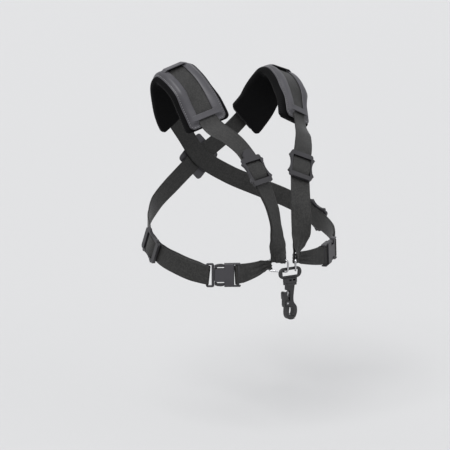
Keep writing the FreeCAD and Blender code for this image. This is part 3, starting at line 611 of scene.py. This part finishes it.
def tape(name, sections, material, thick=TAPE_THICK, closed=False):
    """Woven tape along its sections. A closed tape has no ends."""
    points, lay = [], []
    distance = 0.0
    last = sections[0].point
    for section in sections:
        distance += (section.point - last).length
        last = section.point
        top = tape_top(section.half, thick)
        outline = top + [(a, -o) for a, o in reversed(top)]
        for a, o in outline:
            pleat = section.pleat * math.sin(math.pi * PLEATS * a / section.half)
            points.append(section.point + section.across * a + section.out * (o + pleat))
            lay.append((distance, a, o))
    around = 2 * (TAPE_COLUMNS - 1 + 2 * len(EDGE_ANGLES))
    faces = tube_faces(0, len(sections), around, closed)
    if not closed:
        faces += cap_faces(0, around)
        faces += cap_faces((len(sections) - 1) * around, around)
    return mesh_object(name, points, faces, material, lay)


def route_sections(route, start, end, step, shape):
    """Sections from one distance to another. shape(distance) gives half, offset, pleat, shift."""
    count = max(2, round(abs(end - start) / step))
    sections = []
    for i in range(count + 1):
        distance = mix(start, end, i / count)
        half, offset, pleat, shift = shape(distance)
        place = route.place(distance)
        sections.append(Section(place.at(out=offset), place.across, place.out, half, pleat, shift))
    return sections


def faced_back(sections):
    """The same sections with their outer side towards the body, for a tape's return length."""
    return [Section(s.point, s.across, s.out * -1.0, s.half, -s.pleat) for s in sections]


def bend_sections(centre, across, first, then, radius, half, pleat, steps=10):
    """Half a turn about a bar or a wire, from the first direction through the second."""
    sections = []
    for i in range(1, steps):
        turn = math.pi * i / steps
        out = first * math.cos(turn) + then * math.sin(turn)
        sections.append(Section(centre + out * radius, across, out, half, pleat * math.cos(turn)))
    return sections


# ---------------------------------------------------------------- straps
STRAP_STEP = 3.0
LONG_STEP = 4.0
BELT_STEP = 2.0
HALF_WIDTH = TAPE_WIDTH / 2
DOUBLED_BACK = -TAPE_THICK - LAYER_GAP
RING_LOOP_HALF = 9.3
GATHER_UNTIL = 32.0
LOOP_OPENS_BELOW = 13.0
LOOP_FOOT = 2.0
RING_PLEAT = 0.55


def ring_point(side):
    return Vector((side * RING_CENTRE.x, RING_CENTRE.y, RING_CENTRE.z))


def front_loop(name):
    """Doubled strap from the front slider, gathered and folded round the ring's top wire."""
    route = shoulder[name]
    slider = route.nearest(SLIDER_POINT)
    wire = ring_point(SIDES[name]) + UP * (RING_HEIGHT - WIRE) / 2
    radius = WIRE / 2 + LAYER_GAP + HALF_TAPE + RING_PLEAT

    def shape(distance, closed_offset, open_offset):
        spread = smooth(distance / GATHER_UNTIL)
        opened = 1.0 - smooth(distance / LOOP_OPENS_BELOW)
        offset = mix(closed_offset, open_offset, opened)
        return mix(RING_LOOP_HALF, HALF_WIDTH, spread), offset, RING_PLEAT * (1.0 - spread), 0.0

    def front(distance):
        return shape(distance, 0.0, radius)

    def back(distance):
        return shape(distance, DOUBLED_BACK, -radius)

    foot = route.place(0.0)
    turn = bend_sections(wire, foot.across, foot.out, UP * -1.0, radius, RING_LOOP_HALF, RING_PLEAT)
    down = route_sections(route, slider, LOOP_FOOT, STRAP_STEP, front)
    up = faced_back(route_sections(route, LOOP_FOOT, slider, STRAP_STEP, back))
    piece = tape(f"{name}_front_loop_tape", down + turn + up, WEBBING)
    stands_for(piece, "harness", "webbing", f"{name}_front_loop_webbing")


JOIN_OVERLAPS = (1.5, 3.0, 4.5)
JOIN_SINK = 0.35
JOIN_INSET = 0.3


def shoulder_strap(name):
    """Single strap from the front slider over the shoulder, and on into the other side's belt."""
    route = shoulder[name]
    belt_route = belt["right" if name == "left" else "left"]

    def shape(_):
        return HALF_WIDTH, 0.0, 0.0, 0.0

    slider = route.nearest(SLIDER_POINT)
    sections = route_sections(route, slider, route.length, LONG_STEP, shape)
    for overlap in JOIN_OVERLAPS:
        place = belt_route.place(belt_route.length - overlap)
        across = place.across * math.copysign(1.0, place.across.dot(sections[-1].across))
        point = place.at(out=-JOIN_SINK)
        sections.append(Section(point, across, place.out, HALF_WIDTH - JOIN_INSET))
    piece = tape(f"{name}_shoulder_tape", sections, WEBBING)
    stands_for(piece, "harness", "webbing", f"{name}_shoulder_webbing")


BELT_LOOP_HALF = 5.4
BELT_BUNCH_HALF = 7.9
BUNCH_FROM = 6.0
BELT_HALF = 11.8
FLARE_UNTIL = 30.0
BELT_PLEAT = 0.6
BELT_FOOT = 1.5
BAR_SEAT = 1.1
BAR_TURN = BAR_DEPTH / 2 + 0.2 + HALF_TAPE
BAR_MARGIN = 1.0
OPENS_OVER_WIRE = 8.0
OPENS_OVER_BAR = 9.0
TOP_EDGE_SHARE = 0.55


def front_belt(name):
    """Closed doubled loop of belt between the ring's outer wire and the buckle's bar."""
    side = SIDES[name]
    route = belt[name]
    buckle = route.nearest(BUCKLE_POINT)
    outwards = Vector((side * RING_AXIS.x, RING_AXIS.y, 0.0))
    wire = ring_point(side) + outwards * (RING_WIDTH - WIRE) / 2
    radius = WIRE / 2 + LAYER_GAP + HALF_TAPE + BELT_PLEAT
    bar = belt_frame(name, buckle) @ Vector((BAR_SEAT - FEMALE_BAR, 0.0, 0.0))
    foot = route.place(BELT_FOOT)
    near_bar = buckle - FEMALE_BAR - BAR_MARGIN
    apart = HALF_TAPE + 0.1

    def shape(distance, sign):
        share = min(max(distance - BUNCH_FROM, 0.0) / FLARE_UNTIL, 1.0)
        bunched = mix(BELT_LOOP_HALF, BELT_BUNCH_HALF, smooth(distance / BUNCH_FROM))
        half = mix(bunched, BELT_HALF, share)
        opened = 1.0 - smooth(distance / OPENS_OVER_WIRE)
        at_bar = smooth((distance - near_bar + OPENS_OVER_BAR) / OPENS_OVER_BAR)
        offset = mix(mix(apart, radius, opened), BAR_TURN, at_bar)
        shift = (half - BELT_HALF) * TOP_EDGE_SHARE * (1.0 - opened * 0.5)
        return half, sign * offset, BELT_PLEAT * (1.0 - share), shift

    def outer(distance):
        return shape(distance, 1.0)

    def inner(distance):
        return shape(distance, -1.0)

    inward = route_sections(route, near_bar, BELT_FOOT, BELT_STEP, outer)
    outward = faced_back(route_sections(route, BELT_FOOT, near_bar, BELT_STEP, inner))
    first, last = inward[-1], inward[0]
    wire = Vector((wire.x, wire.y, (first.point - first.out * radius).z))
    back = foot.along * -1.0
    at_wire = bend_sections(wire, first.across, foot.out, back, radius, first.half, first.pleat)
    ahead = route.place(near_bar).along
    at_bar = bend_sections(bar, last.across, last.out * -1.0, ahead, BAR_TURN, BELT_HALF, 0.0)
    loop = inward + at_wire + outward + at_bar
    piece = tape(f"{name}_front_belt_tape", loop, WEBBING, closed=True)
    stands_for(piece, "harness", "webbing", f"{name}_front_belt_webbing")


SECOND_LAYER_LIFT = 1.5
LIFT_OVER = 14.0
WIDENS_OVER = 20.0
NEAR_SLIDER = 12.0
BEND_AFTER_BAR = 8.0
BEND_BEFORE_SLIDER = 24.0


def side_belt(name):
    """Belt from the side slider to the male half's bar, and back under itself to the far end."""
    route = belt[name]
    buckle = route.nearest(BUCKLE_POINT)
    slider = route.nearest(SIDE_SLIDER_POINT)
    bar = belt_frame(name, buckle) @ Vector((MALE_BAR, 0.0, 0.0))
    near_bar = buckle + MALE_BAR + BAR_MARGIN
    end = route.length - END_GAP

    def half(distance):
        return mix(BELT_HALF, HALF_WIDTH, smooth((distance - near_bar) / WIDENS_OVER))

    def at_bar(distance):
        return 1.0 - smooth((distance - near_bar) / OPENS_OVER_BAR)

    def outer(distance):
        return half(distance), mix(0.0, BAR_TURN, at_bar(distance)), 0.0, 0.0

    def inner(distance):
        past_slider = smooth((distance - slider) / NEAR_SLIDER)
        offset = mix(mix(DOUBLED_BACK, -BAR_TURN, at_bar(distance)), 0.0, past_slider)
        rising = smooth((distance - near_bar) / LIFT_OVER)
        falling = smooth((slider - NEAR_SLIDER - distance) / LIFT_OVER)
        return half(distance), offset, 0.0, -SECOND_LAYER_LIFT * (rising * falling)

    towards = route_sections(route, slider, near_bar, STRAP_STEP, outer)
    away = faced_back(route_sections(route, near_bar, end, STRAP_STEP, inner))
    last = towards[-1]
    back = route.place(near_bar).along * -1.0
    turn = bend_sections(bar, last.across, last.out, back, BAR_TURN, last.half, 0.0)
    piece = tape(f"{name}_side_belt_tape", towards + turn + away, WEBBING)
    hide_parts(f"{name}_side_belt_webbing")
    start = route.place(near_bar + BEND_AFTER_BAR).point * MM
    stop = route.place(slider - BEND_BEFORE_SLIDER).point * MM
    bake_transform(piece)


FOLD_HALF = 12.3
FOLD_REACH = 12.4
FOLD_FOOT = 0.55
FOLD_RISE = 3.8
FOLD_SQUARENESS = 2.6
FOLD_STEPS = 22


def slider_fold(node, route, distance):
    """The strap where it arches over a slider's centre bar, inside the window."""
    frame_here = strap_frame(route, distance)
    across = frame_here.to_3x3() @ Vector((1.0, 0.0, 0.0))
    points = []
    for i in range(FOLD_STEPS + 1):
        z = FOLD_REACH * (2 * i / FOLD_STEPS - 1)
        depth = FOLD_FOOT + FOLD_RISE * (1.0 - abs(z / FOLD_REACH) ** FOLD_SQUARENESS)
        points.append(frame_here @ Vector((0.0, -depth, z)))
    sections = []
    for i, point in enumerate(points):
        travel = (points[min(i + 1, FOLD_STEPS)] - points[max(i - 1, 0)]).normalized()
        sections.append(Section(point, across, travel.cross(across), FOLD_HALF))
    piece = tape(f"{node}_fold_tape", sections, WEBBING)
    stands_for(piece, node, "webbing", f"{node}_webbing_fold")


# ---------------------------------------------------------------- pads
COVER_BACK = -HALF_TAPE - LAYER_GAP - COVER_THICK
COVER_FLOOR = -HALF_TAPE - LAYER_GAP
FOAM_TOP = COVER_BACK - LAYER_GAP
FOAM_MIDDLE = FOAM_TOP - FOAM_THICK / 2


def laid(route, start, place):
    """World point of a place (along, across, out) on a pad that starts at that distance."""
    along, across, out = place
    return route.place(start + along).at(across, out)


def rounded_half(along, length, half, corner):
    """Half width of a rectangle with round corners, at a distance along it."""
    near = min(along, length - along)
    if near >= corner:
        return half
    return half - corner + math.sqrt(max(corner ** 2 - (corner - near) ** 2, 0.0))


FOAM_CORNER = 8.0
FOAM_SHRINK = 1.2
FOAM_VOXEL = 3.0
FOAM_PRESSURE = 4.0
FOAM_CAP = 2.2
SWELL_FRAMES = 20
SEWN_HALF = COVER_WIDTH / 2 - 3.0
SEWN_REACH = PAD_LENGTH / 2 - 6.0


def foam_blank():
    """Flat pad: a slab a little small, remeshed, and swollen as cloth where it isn't sewn."""
    bm = bmesh.new()
    bmesh.ops.create_cube(bm, size=1.0)
    sizes = [full - 2 * FOAM_SHRINK for full in (PAD_LENGTH, PAD_WIDTH, FOAM_THICK)]
    bmesh.ops.scale(bm, vec=Vector(sizes) * MM, verts=bm.verts)
    upright = [e for e in bm.edges if abs(e.verts[0].co.z - e.verts[1].co.z) > MM]
    corner = FOAM_CORNER * MM
    bmesh.ops.bevel(bm, geom=upright, offset=corner, segments=5, profile=0.5, affect="EDGES")
    mesh = bpy.data.meshes.new("foam_blank")
    bm.to_mesh(mesh)
    bm.free()
    slab = bpy.data.objects.new("foam_blank", mesh)
    bpy.context.scene.collection.objects.link(slab)
    remesh = slab.modifiers.new("even_mesh", "REMESH")
    remesh.mode = "VOXEL"
    remesh.voxel_size = FOAM_VOXEL * MM
    bake_modifiers(slab)
    rest = [v.co.copy() for v in slab.data.vertices]
    swell(slab, rest)
    soften = slab.modifiers.new("soften", "SUBSURF")
    soften.levels = 1
    soften.render_levels = 1
    bake_modifiers(slab)
    return slab


def bake_modifiers(obj):
    """Replace an object's mesh with the result of its modifiers."""
    graph = bpy.context.evaluated_depsgraph_get()
    mesh = bpy.data.meshes.new_from_object(obj.evaluated_get(graph))
    obj.modifiers.clear()
    obj.data = mesh


def swell(slab, rest):
    """Inflate the free faces of the slab; the face under the cover stays sewn down."""
    sewn = slab.vertex_groups.new(name="sewn")
    held = [
        v.index for v in slab.data.vertices
        if v.co.z > 0.0 and abs(v.co.y) < SEWN_HALF * MM and abs(v.co.x) < SEWN_REACH * MM
    ]
    sewn.add(held, 1.0, "REPLACE")
    cloth = slab.modifiers.new("swell", "CLOTH")
    cloth.settings.vertex_group_mass = "sewn"
    cloth.settings.use_pressure = True
    cloth.settings.uniform_pressure_force = FOAM_PRESSURE
    cloth.settings.effector_weights.gravity = 0.0
    scene = bpy.context.scene
    for frame_number in range(1, SWELL_FRAMES + 1):
        scene.frame_set(frame_number)
    bake_modifiers(slab)
    scene.frame_set(1)
    for vertex, start in zip(slab.data.vertices, rest):
        move = vertex.co - start
        if move.length > FOAM_CAP * MM:
            vertex.co = start + move.normalized() * FOAM_CAP * MM


def pad_foam(name, blank, route, start):
    """The swollen blank, laid over the shoulder."""
    points, lay = [], []
    ceiling = COVER_BACK - 0.1
    for vertex in blank.data.vertices:
        along, across, out = vertex.co / MM
        height = out + FOAM_MIDDLE
        if abs(across) < COVER_WIDTH / 2:
            height = min(height, ceiling)
        place = (along + PAD_LENGTH / 2, across, height)
        points.append(laid(route, start, place))
        lay.append(place)
    faces = [tuple(face.vertices) for face in blank.data.polygons]
    piece = mesh_object(f"{name}_pad_foam_padded", points, faces, VELOUR, lay, 80.0)
    stands_for(piece, "harness", "velour_foam", f"{name}_pad_foam")


COVER_LENGTH = PAD_LENGTH - 2 * COVER_INSET
COVER_CORNER = 6.0
COVER_HALF = COVER_WIDTH / 2
CHANNEL_HALF = CHANNEL_WIDTH / 2
LIP_HALF = 11.0
RAIL_CROWN = 2.65


def cover_outline(half, raised):
    """Right half of the cover's section, from its outer edge underneath to the channel's middle."""
    crown = mix(CHANNEL_HALF, half, 0.42)
    return [
        (half - 0.4, COVER_BACK),
        (half, COVER_BACK + 0.5),
        (half - 0.2, COVER_FLOOR - 0.15),
        (half - 0.9, COVER_FLOOR + 0.25),
        (half - STITCH_INSET, mix(COVER_FLOOR + 0.1, COVER_FLOOR + 0.2, raised)),
        (half - 3.0, mix(COVER_FLOOR + 0.3, COVER_FLOOR + 1.1, raised)),
        (half - 4.6, mix(COVER_FLOOR + 0.35, COVER_FLOOR + 2.5, raised)),
        (mix(half - 4.6, crown, 0.6), mix(COVER_FLOOR + 0.35, RAIL_CROWN - 0.25, raised)),
        (crown, mix(COVER_FLOOR + 0.35, RAIL_CROWN, raised)),
        (mix(crown, CHANNEL_HALF, 0.6), mix(COVER_FLOOR + 0.32, RAIL_CROWN - 0.1, raised)),
        (CHANNEL_HALF - 0.4, mix(COVER_FLOOR + 0.3, RAIL_CROWN - 0.45, raised)),
        (LIP_HALF + 0.15, mix(COVER_FLOOR + 0.25, RAIL_CROWN - 0.9, raised)),
        (LIP_HALF, mix(COVER_FLOOR + 0.15, HALF_TAPE + 0.65, raised)),
        (LIP_HALF + 0.3, mix(COVER_FLOOR + 0.08, HALF_TAPE + 0.3, raised)),
        (CHANNEL_HALF, mix(COVER_FLOOR + 0.05, HALF_TAPE + 0.3, raised)),
        (CHANNEL_HALF - 0.05, COVER_FLOOR + 0.02),
        (CHANNEL_HALF - 2.0, COVER_FLOOR),
        (0.0, COVER_FLOOR),
    ]


TONGUE_FLAT = 4.0
TONGUE_RISE = 4.5
END_ZONE = 13.0
END_PLACES = [0.0, 0.3, 1.0, 2.0, 3.2, 4.5, 6.0, 7.5, 9.0, 11.0]
MIDDLE_STEPS = 60


def raised_at(along):
    """0 on the flat tongue at each end of the cover, 1 where its side strips stand up."""
    near = min(along, COVER_LENGTH - along)
    return smooth((near - TONGUE_FLAT) / TONGUE_RISE)


def pad_cover(name, route, start):
    """Leatherette panel with two raised strips beside the strap's window."""
    first = start + COVER_INSET
    middle = [
        mix(END_ZONE, COVER_LENGTH - END_ZONE, i / MIDDLE_STEPS) for i in range(MIDDLE_STEPS + 1)
    ]
    places = END_PLACES + middle + [COVER_LENGTH - along for along in reversed(END_PLACES)]
    points, lay = [], []
    for along in places:
        half = rounded_half(along, COVER_LENGTH, COVER_HALF, COVER_CORNER)
        right = cover_outline(half, raised_at(along))
        outline = right + [(-a, o) for a, o in reversed(right[:-1])]
        for a, o in outline:
            points.append(laid(route, first, (along, a, o)))
            lay.append((along, a, o))
    around = len(outline)
    faces = tube_faces(0, len(places), around)
    faces += cap_faces(0, around)
    faces += cap_faces((len(places) - 1) * around, around)
    piece = mesh_object(f"{name}_pad_cover_leather", points, faces, LEATHERETTE, lay, 50.0)
    stands_for(piece, "harness", "leatherette", f"{name}_pad_cover")


KEEPER_REACH = CHANNEL_HALF + 4.6
KEEPER_HEIGHT = RAIL_CROWN + 0.35
KEEPER_FOOT = RAIL_CROWN - 0.35
KEEPER_LIFT = {"front": 0.0, "crest": 1.2, "rear": 0.0}
# Clearance round the dark strip that stands in for the shade under the crest band.
SHADE_STRIP_CLEARANCE = 0.1


def pad_keeper(name, which, route, middle):
    """Leatherette band across the strap, sewn down on the raised strips."""
    steps = 30
    half = KEEPER_LENGTH / 2 - 0.2
    place = route.place(middle)
    sections = []
    for i in range(steps + 1):
        across = KEEPER_REACH * (2 * i / steps - 1)
        sunk = smooth((abs(across) - CHANNEL_HALF) / (KEEPER_REACH - CHANNEL_HALF))
        out = mix(KEEPER_HEIGHT + KEEPER_LIFT[which], KEEPER_FOOT, sunk)
        sections.append(Section(place.at(across, out), place.along, place.out, half))
    piece = tape(f"{name}_pad_{which}_keeper_leather", sections, LEATHERETTE, COVER_THICK)
    stands_for(piece, "harness", "leatherette", f"{name}_pad_{which}_keeper")


def crest_shade_strip(name, route, middle):
    """Black strip that fills the gap between the strap and the raised band on the crest, put there
    as painted shade for that slot.
    """
    bottom = HALF_TAPE + SHADE_STRIP_CLEARANCE
    top = KEEPER_HEIGHT + KEEPER_LIFT["crest"] - COVER_THICK / 2 - SHADE_STRIP_CLEARANCE
    half = KEEPER_LENGTH / 2 - 1.0
    place = route.place(middle)
    steps = 8
    sections = []
    for i in range(steps + 1):
        across = (LIP_HALF - 0.6) * (2 * i / steps - 1)
        centre = place.at(across, (bottom + top) / 2)
        sections.append(Section(centre, place.along, place.out, half))
    # The strip is painted shade: dark velour where the slot has only shadow.
    piece = tape(f"{name}_pad_crest_lining", sections, VELOUR, top - bottom)
    stands_for(piece, "harness", "velour_foam")


# ---------------------------------------------------------------- stitching
STITCH_PITCH = 3.1
STITCH_LENGTH = 2.3
THREAD_RADIUS = 0.3
# Share of the stitch's length, share of the thread's radius, and rise.
STITCH_RINGS = (
    (-0.5, 0.35, -0.25),
    (-0.32, 1.0, 0.0),
    (0.0, 1.05, 0.08),
    (0.32, 1.0, 0.0),
    (0.5, 0.35, -0.25),
)


def stitches(name, marks, body):
    """Short lengths of thread. Each mark is (middle, direction, outward), in millimetres."""
    points, lay, faces = [], [], []
    sides = 6
    for middle, direction, out in marks:
        base = len(points)
        across = direction.cross(out)
        for share, thick, rise in STITCH_RINGS:
            centre = middle + direction * (share * STITCH_LENGTH) + out * rise
            for j in range(sides):
                turn = math.tau * j / sides
                spoke = across * math.cos(turn) + out * math.sin(turn)
                points.append(centre + spoke * (thick * THREAD_RADIUS))
                lay.append((share * STITCH_LENGTH, THREAD_RADIUS * turn, 0.0))
        faces += tube_faces(base, len(STITCH_RINGS), sides)
        last = base + (len(STITCH_RINGS) - 1) * sides
        faces.append(tuple(base + j for j in range(sides)))
        faces.append(tuple(last + j for j in range(sides)))
    piece = mesh_object(name, points, faces, THREAD, lay, 60.0)
    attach(piece, body)


def cover_seam(route, start):
    """Marks all round the cover, one stitch inset from its edge."""
    first = start + COVER_INSET
    inner_length = COVER_LENGTH - 2 * STITCH_INSET
    corner = COVER_CORNER - STITCH_INSET
    flat_half = COVER_HALF - STITCH_INSET
    outline = []
    step = 0.5
    count = round(inner_length / step)
    for i in range(count + 1):
        along = inner_length * i / count
        outline.append((along + STITCH_INSET, rounded_half(along, inner_length, flat_half, corner)))
    across_count = round(2 * (flat_half - corner) / step)
    far = [
        (COVER_LENGTH - STITCH_INSET, (flat_half - corner) * (1 - 2 * i / across_count))
        for i in range(1, across_count)
    ]
    outline = outline + far + [(along, -a) for along, a in reversed(outline)]
    outline += [(STITCH_INSET, -a) for _, a in far]

    def on_cover(along, across):
        height = mix(COVER_FLOOR + 0.12, COVER_FLOOR + 0.22, raised_at(along)) + 0.12
        return laid(route, first, (along, across, height))

    marks = []
    travelled = 0.0
    places = outline + outline[:1]
    world = [on_cover(along, across) for along, across in places]
    due = STITCH_PITCH / 2
    for here, there, (along, _) in zip(world, world[1:], places):
        gap = (there - here).length
        travelled += gap
        if travelled >= due and gap > 0.0:
            out = route.place(first + along).out
            direction = (there - here).normalized()
            out = (out - direction * out.dot(direction)).normalized()
            marks.append((here, direction, out))
            due += STITCH_PITCH
    return marks


def line_marks(start, end, out):
    """Marks along a straight seam."""
    run = end - start
    count = max(1, round(run.length / STITCH_PITCH))
    direction = run.normalized()
    return [(start + run * ((i + 0.5) / count), direction, out) for i in range(count)]


PATCH_CORNER = 5.0
PATCH_SEAM_INSET = 2.4
PATCH_SEAM_HALF = 0.7
PATCH_SEAM_DEPTH = 0.35
PATCH_RIM = 1.6


def back_patch():
    """Leatherette square over the crossing, with a seam round its edge and a cross through it."""
    route = shoulder["left"]
    place = route.place(route.nearest(SHOULDER_STATIONS[CROSSING][0]))
    centre = Vector((0.0, place.point.y + HALF_TAPE + PATCH_GAP, place.point.z))
    diagonal = math.sqrt(0.5)
    x_axis = Vector((diagonal, 0.0, -diagonal))
    z_axis = Vector((diagonal, 0.0, diagonal))
    out = Vector((0.0, 1.0, 0.0))
    half = PATCH_SIZE / 2
    steps = 36
    points, lay, faces = [], [], []
    for level in (1, 0):
        for i in range(steps + 1):
            for j in range(steps + 1):
                u = half * (2 * i / steps - 1)
                limit = rounded_half(u + half, PATCH_SIZE, half, PATCH_CORNER)
                v = limit * (2 * j / steps - 1)
                edge = min(half - abs(u), limit - abs(v))
                from_seam = (edge - PATCH_SEAM_INSET) / PATCH_SEAM_HALF
                seam = math.exp(-from_seam ** 2) * PATCH_SEAM_DEPTH
                top = PATCH_THICK * (0.45 + 0.55 * math.sqrt(smooth(edge / PATCH_RIM))) - seam
                height = top if level else 0.0
                points.append(centre + x_axis * u + z_axis * v + out * height)
                lay.append((u, v, height))
    row = steps + 1
    sheet_size = row * row
    for i in range(steps):
        for j in range(steps):
            a = i * row + j
            faces.append((a, a + 1, a + row + 1, a + row))
            b = a + sheet_size
            faces.append((b, b + row, b + row + 1, b + 1))
    rim = [i * row for i in range(steps)] + [steps * row + j for j in range(steps)]
    rim += [i * row + steps for i in range(steps, 0, -1)] + [j for j in range(steps, 0, -1)]
    for a, b in zip(rim, rim[1:] + rim[:1]):
        faces.append((a, b, b + sheet_size, a + sheet_size))
    # The lay across reaches SEAM_ACROSS at the patch's rim, so the leatherette's painted seam shade
    # darkens its edge.
    piece = mesh_object("back_cross_patch_leather", points, faces, LEATHERETTE, lay, 50.0)
    stands_for(piece, "harness", "leatherette", "back_cross_patch")
    inset = half - PATCH_SEAM_INSET
    surface = centre + out * (PATCH_THICK - 0.1)
    world = [surface + x_axis * (u * inset) + z_axis * (v * inset) for u, v in SQUARE]
    marks = []
    for a, b in zip(world, world[1:] + world[:1]):
        marks += line_marks(a.lerp(b, 0.07), a.lerp(b, 0.93), out)
    for a, b in ((world[0], world[2]), (world[1], world[3])):
        marks += line_marks(a.lerp(b, 0.12), a.lerp(b, 0.88), out)
    stitches("back_cross_patch_stitches", marks, "harness")


# ---------------------------------------------------------------- hardware kept from CAD
WELD_WITHIN = 0.00001


def dress(node, material, soft_edge):
    """A CAD node keeps its shape; its edges are softened and it gets its material."""
    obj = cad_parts[node]
    obj.data.materials.clear()
    obj.data.materials.append(material)
    weld = obj.modifiers.new("weld", "WELD")
    weld.merge_threshold = WELD_WITHIN
    if soft_edge > 0.0:
        bevel = obj.modifiers.new("soft_edges", "BEVEL")
        bevel.width = soft_edge * MM
        bevel.segments = 3
        bevel.limit_method = "ANGLE"
        bevel.angle_limit = math.radians(40.0)
    obj.data.shade_smooth()
    even_normals = obj.modifiers.new("even_normals", "WEIGHTED_NORMAL")
    even_normals.keep_sharp = True


foam = foam_blank()
for name, side in SIDES.items():
    strap_route = shoulder[name]
    pad_start = strap_route.nearest(PAD_FRONT_POINT)
    pad_route = PadLine(strap_route, pad_start + STRAIGHT_FRONT)
    pad_foam(name, foam, pad_route, pad_start)
    pad_cover(name, pad_route, pad_start)
    keepers = {
        "front": pad_start + FRONT_KEEPER_FROM_END,
        "crest": pad_start + PAD_LENGTH / 2,
        "rear": pad_start + PAD_LENGTH - FRONT_KEEPER_FROM_END,
    }
    for which, middle in keepers.items():
        pad_keeper(name, which, pad_route, middle)
    # Dark strip standing in for the shade in the slot under the crest band.
    crest_shade_strip(name, pad_route, keepers["crest"])
    stitches(f"{name}_pad_cover_stitches", cover_seam(pad_route, pad_start), "harness")
    shoulder_strap(name)
    front_loop(name)
    front_belt(name)
    side_belt(name)
    slider_fold(f"{name}_front_slider", strap_route, strap_route.nearest(SLIDER_POINT))
    slider_fold(f"{name}_side_slider", belt[name], belt[name].nearest(SIDE_SLIDER_POINT))
    for node in ("front_slider_frame", "side_slider_frame"):
        dress(f"{name}_{node}", SATIN_PLASTIC, 0.7)
    for node in ("buckle_female", "buckle_male", "buckle_upper_arm", "buckle_lower_arm"):
        dress(f"{name}_{node}", SATIN_PLASTIC, 0.35)
    dress(f"{name}_ring", CHROME, 0.0)
bpy.data.objects.remove(foam)
back_patch()
dress("hook_eye", HOOK_PLASTIC, 0.3)
dress("hook_body", HOOK_PLASTIC, 0.3)
dress("hook_jaw", HOOK_PLASTIC, 0.3)
dress("jaw_pin", STEEL, 0.15)
dress("jaw_spring", STEEL, 0.0)

# ---------------------------------------------------------------- stage, light and camera
FLOOR_HEIGHT = -460.0
FLOOR_REACH = 40000.0
floor_corners = [(x * FLOOR_REACH, y * FLOOR_REACH, FLOOR_HEIGHT) for x, y in SQUARE]
floor = mesh_object("stage_floor", floor_corners, [(0, 1, 2, 3)], stage_material())

VIEW_AZIMUTH = math.radians(-35.0)
VIEW_ELEVATION = math.radians(10.0)
VIEW_DISTANCE = 2.0
LENS = 124.0
AIM = Vector((0.0, 0.0, -0.2))
ASIDE = 0.0256


def toward(azimuth, elevation):
    """Unit vector from the object towards a viewer at these angles."""
    flat = math.cos(elevation)
    return Vector((math.sin(azimuth) * flat, -math.cos(azimuth) * flat, math.sin(elevation)))


def soft_sun(name, azimuth, elevation, spread, strength):
    """Wide distant light: as soft as a large box, and as bright on the far floor as near it."""
    lamp = bpy.data.lights.new(name, "SUN")
    lamp.angle = math.radians(spread)
    lamp.energy = strength
    obj = bpy.data.objects.new(name, lamp)
    back = toward(math.radians(azimuth), math.radians(elevation))
    obj.location = AIM + back
    obj.rotation_mode = "QUATERNION"
    obj.rotation_quaternion = (-back).to_track_quat("-Z", "Y")
    bpy.context.scene.collection.objects.link(obj)


soft_sun("key_light", azimuth=-60.0, elevation=54.0, spread=35.0, strength=2.4)
soft_sun("fill_light", azimuth=25.0, elevation=25.0, spread=60.0, strength=0.5)
soft_sun("back_light", azimuth=160.0, elevation=45.0, spread=60.0, strength=0.3)

# The world is as bright as the lit floor, so that the far edge of the floor does not show.
world = bpy.data.worlds.new("studio")
world.use_nodes = True
background = world.node_tree.nodes["Background"]
background.inputs["Color"].default_value = (0.96, 0.97, 1.0, 1.0)
background.inputs["Strength"].default_value = 0.76
bpy.context.scene.world = world
bpy.context.scene.view_settings.view_transform = "Standard"

back = toward(VIEW_AZIMUTH, VIEW_ELEVATION)
right = Vector((math.cos(VIEW_AZIMUTH), math.sin(VIEW_AZIMUTH), 0.0))
lens = bpy.data.cameras.new("camera")
lens.lens = LENS
camera = bpy.data.objects.new("camera", lens)
camera.location = AIM - right * ASIDE + back * VIEW_DISTANCE
camera.rotation_mode = "QUATERNION"
camera.rotation_quaternion = (-back).to_track_quat("-Z", "Y")
bpy.context.scene.collection.objects.link(camera)
bpy.context.scene.camera = camera
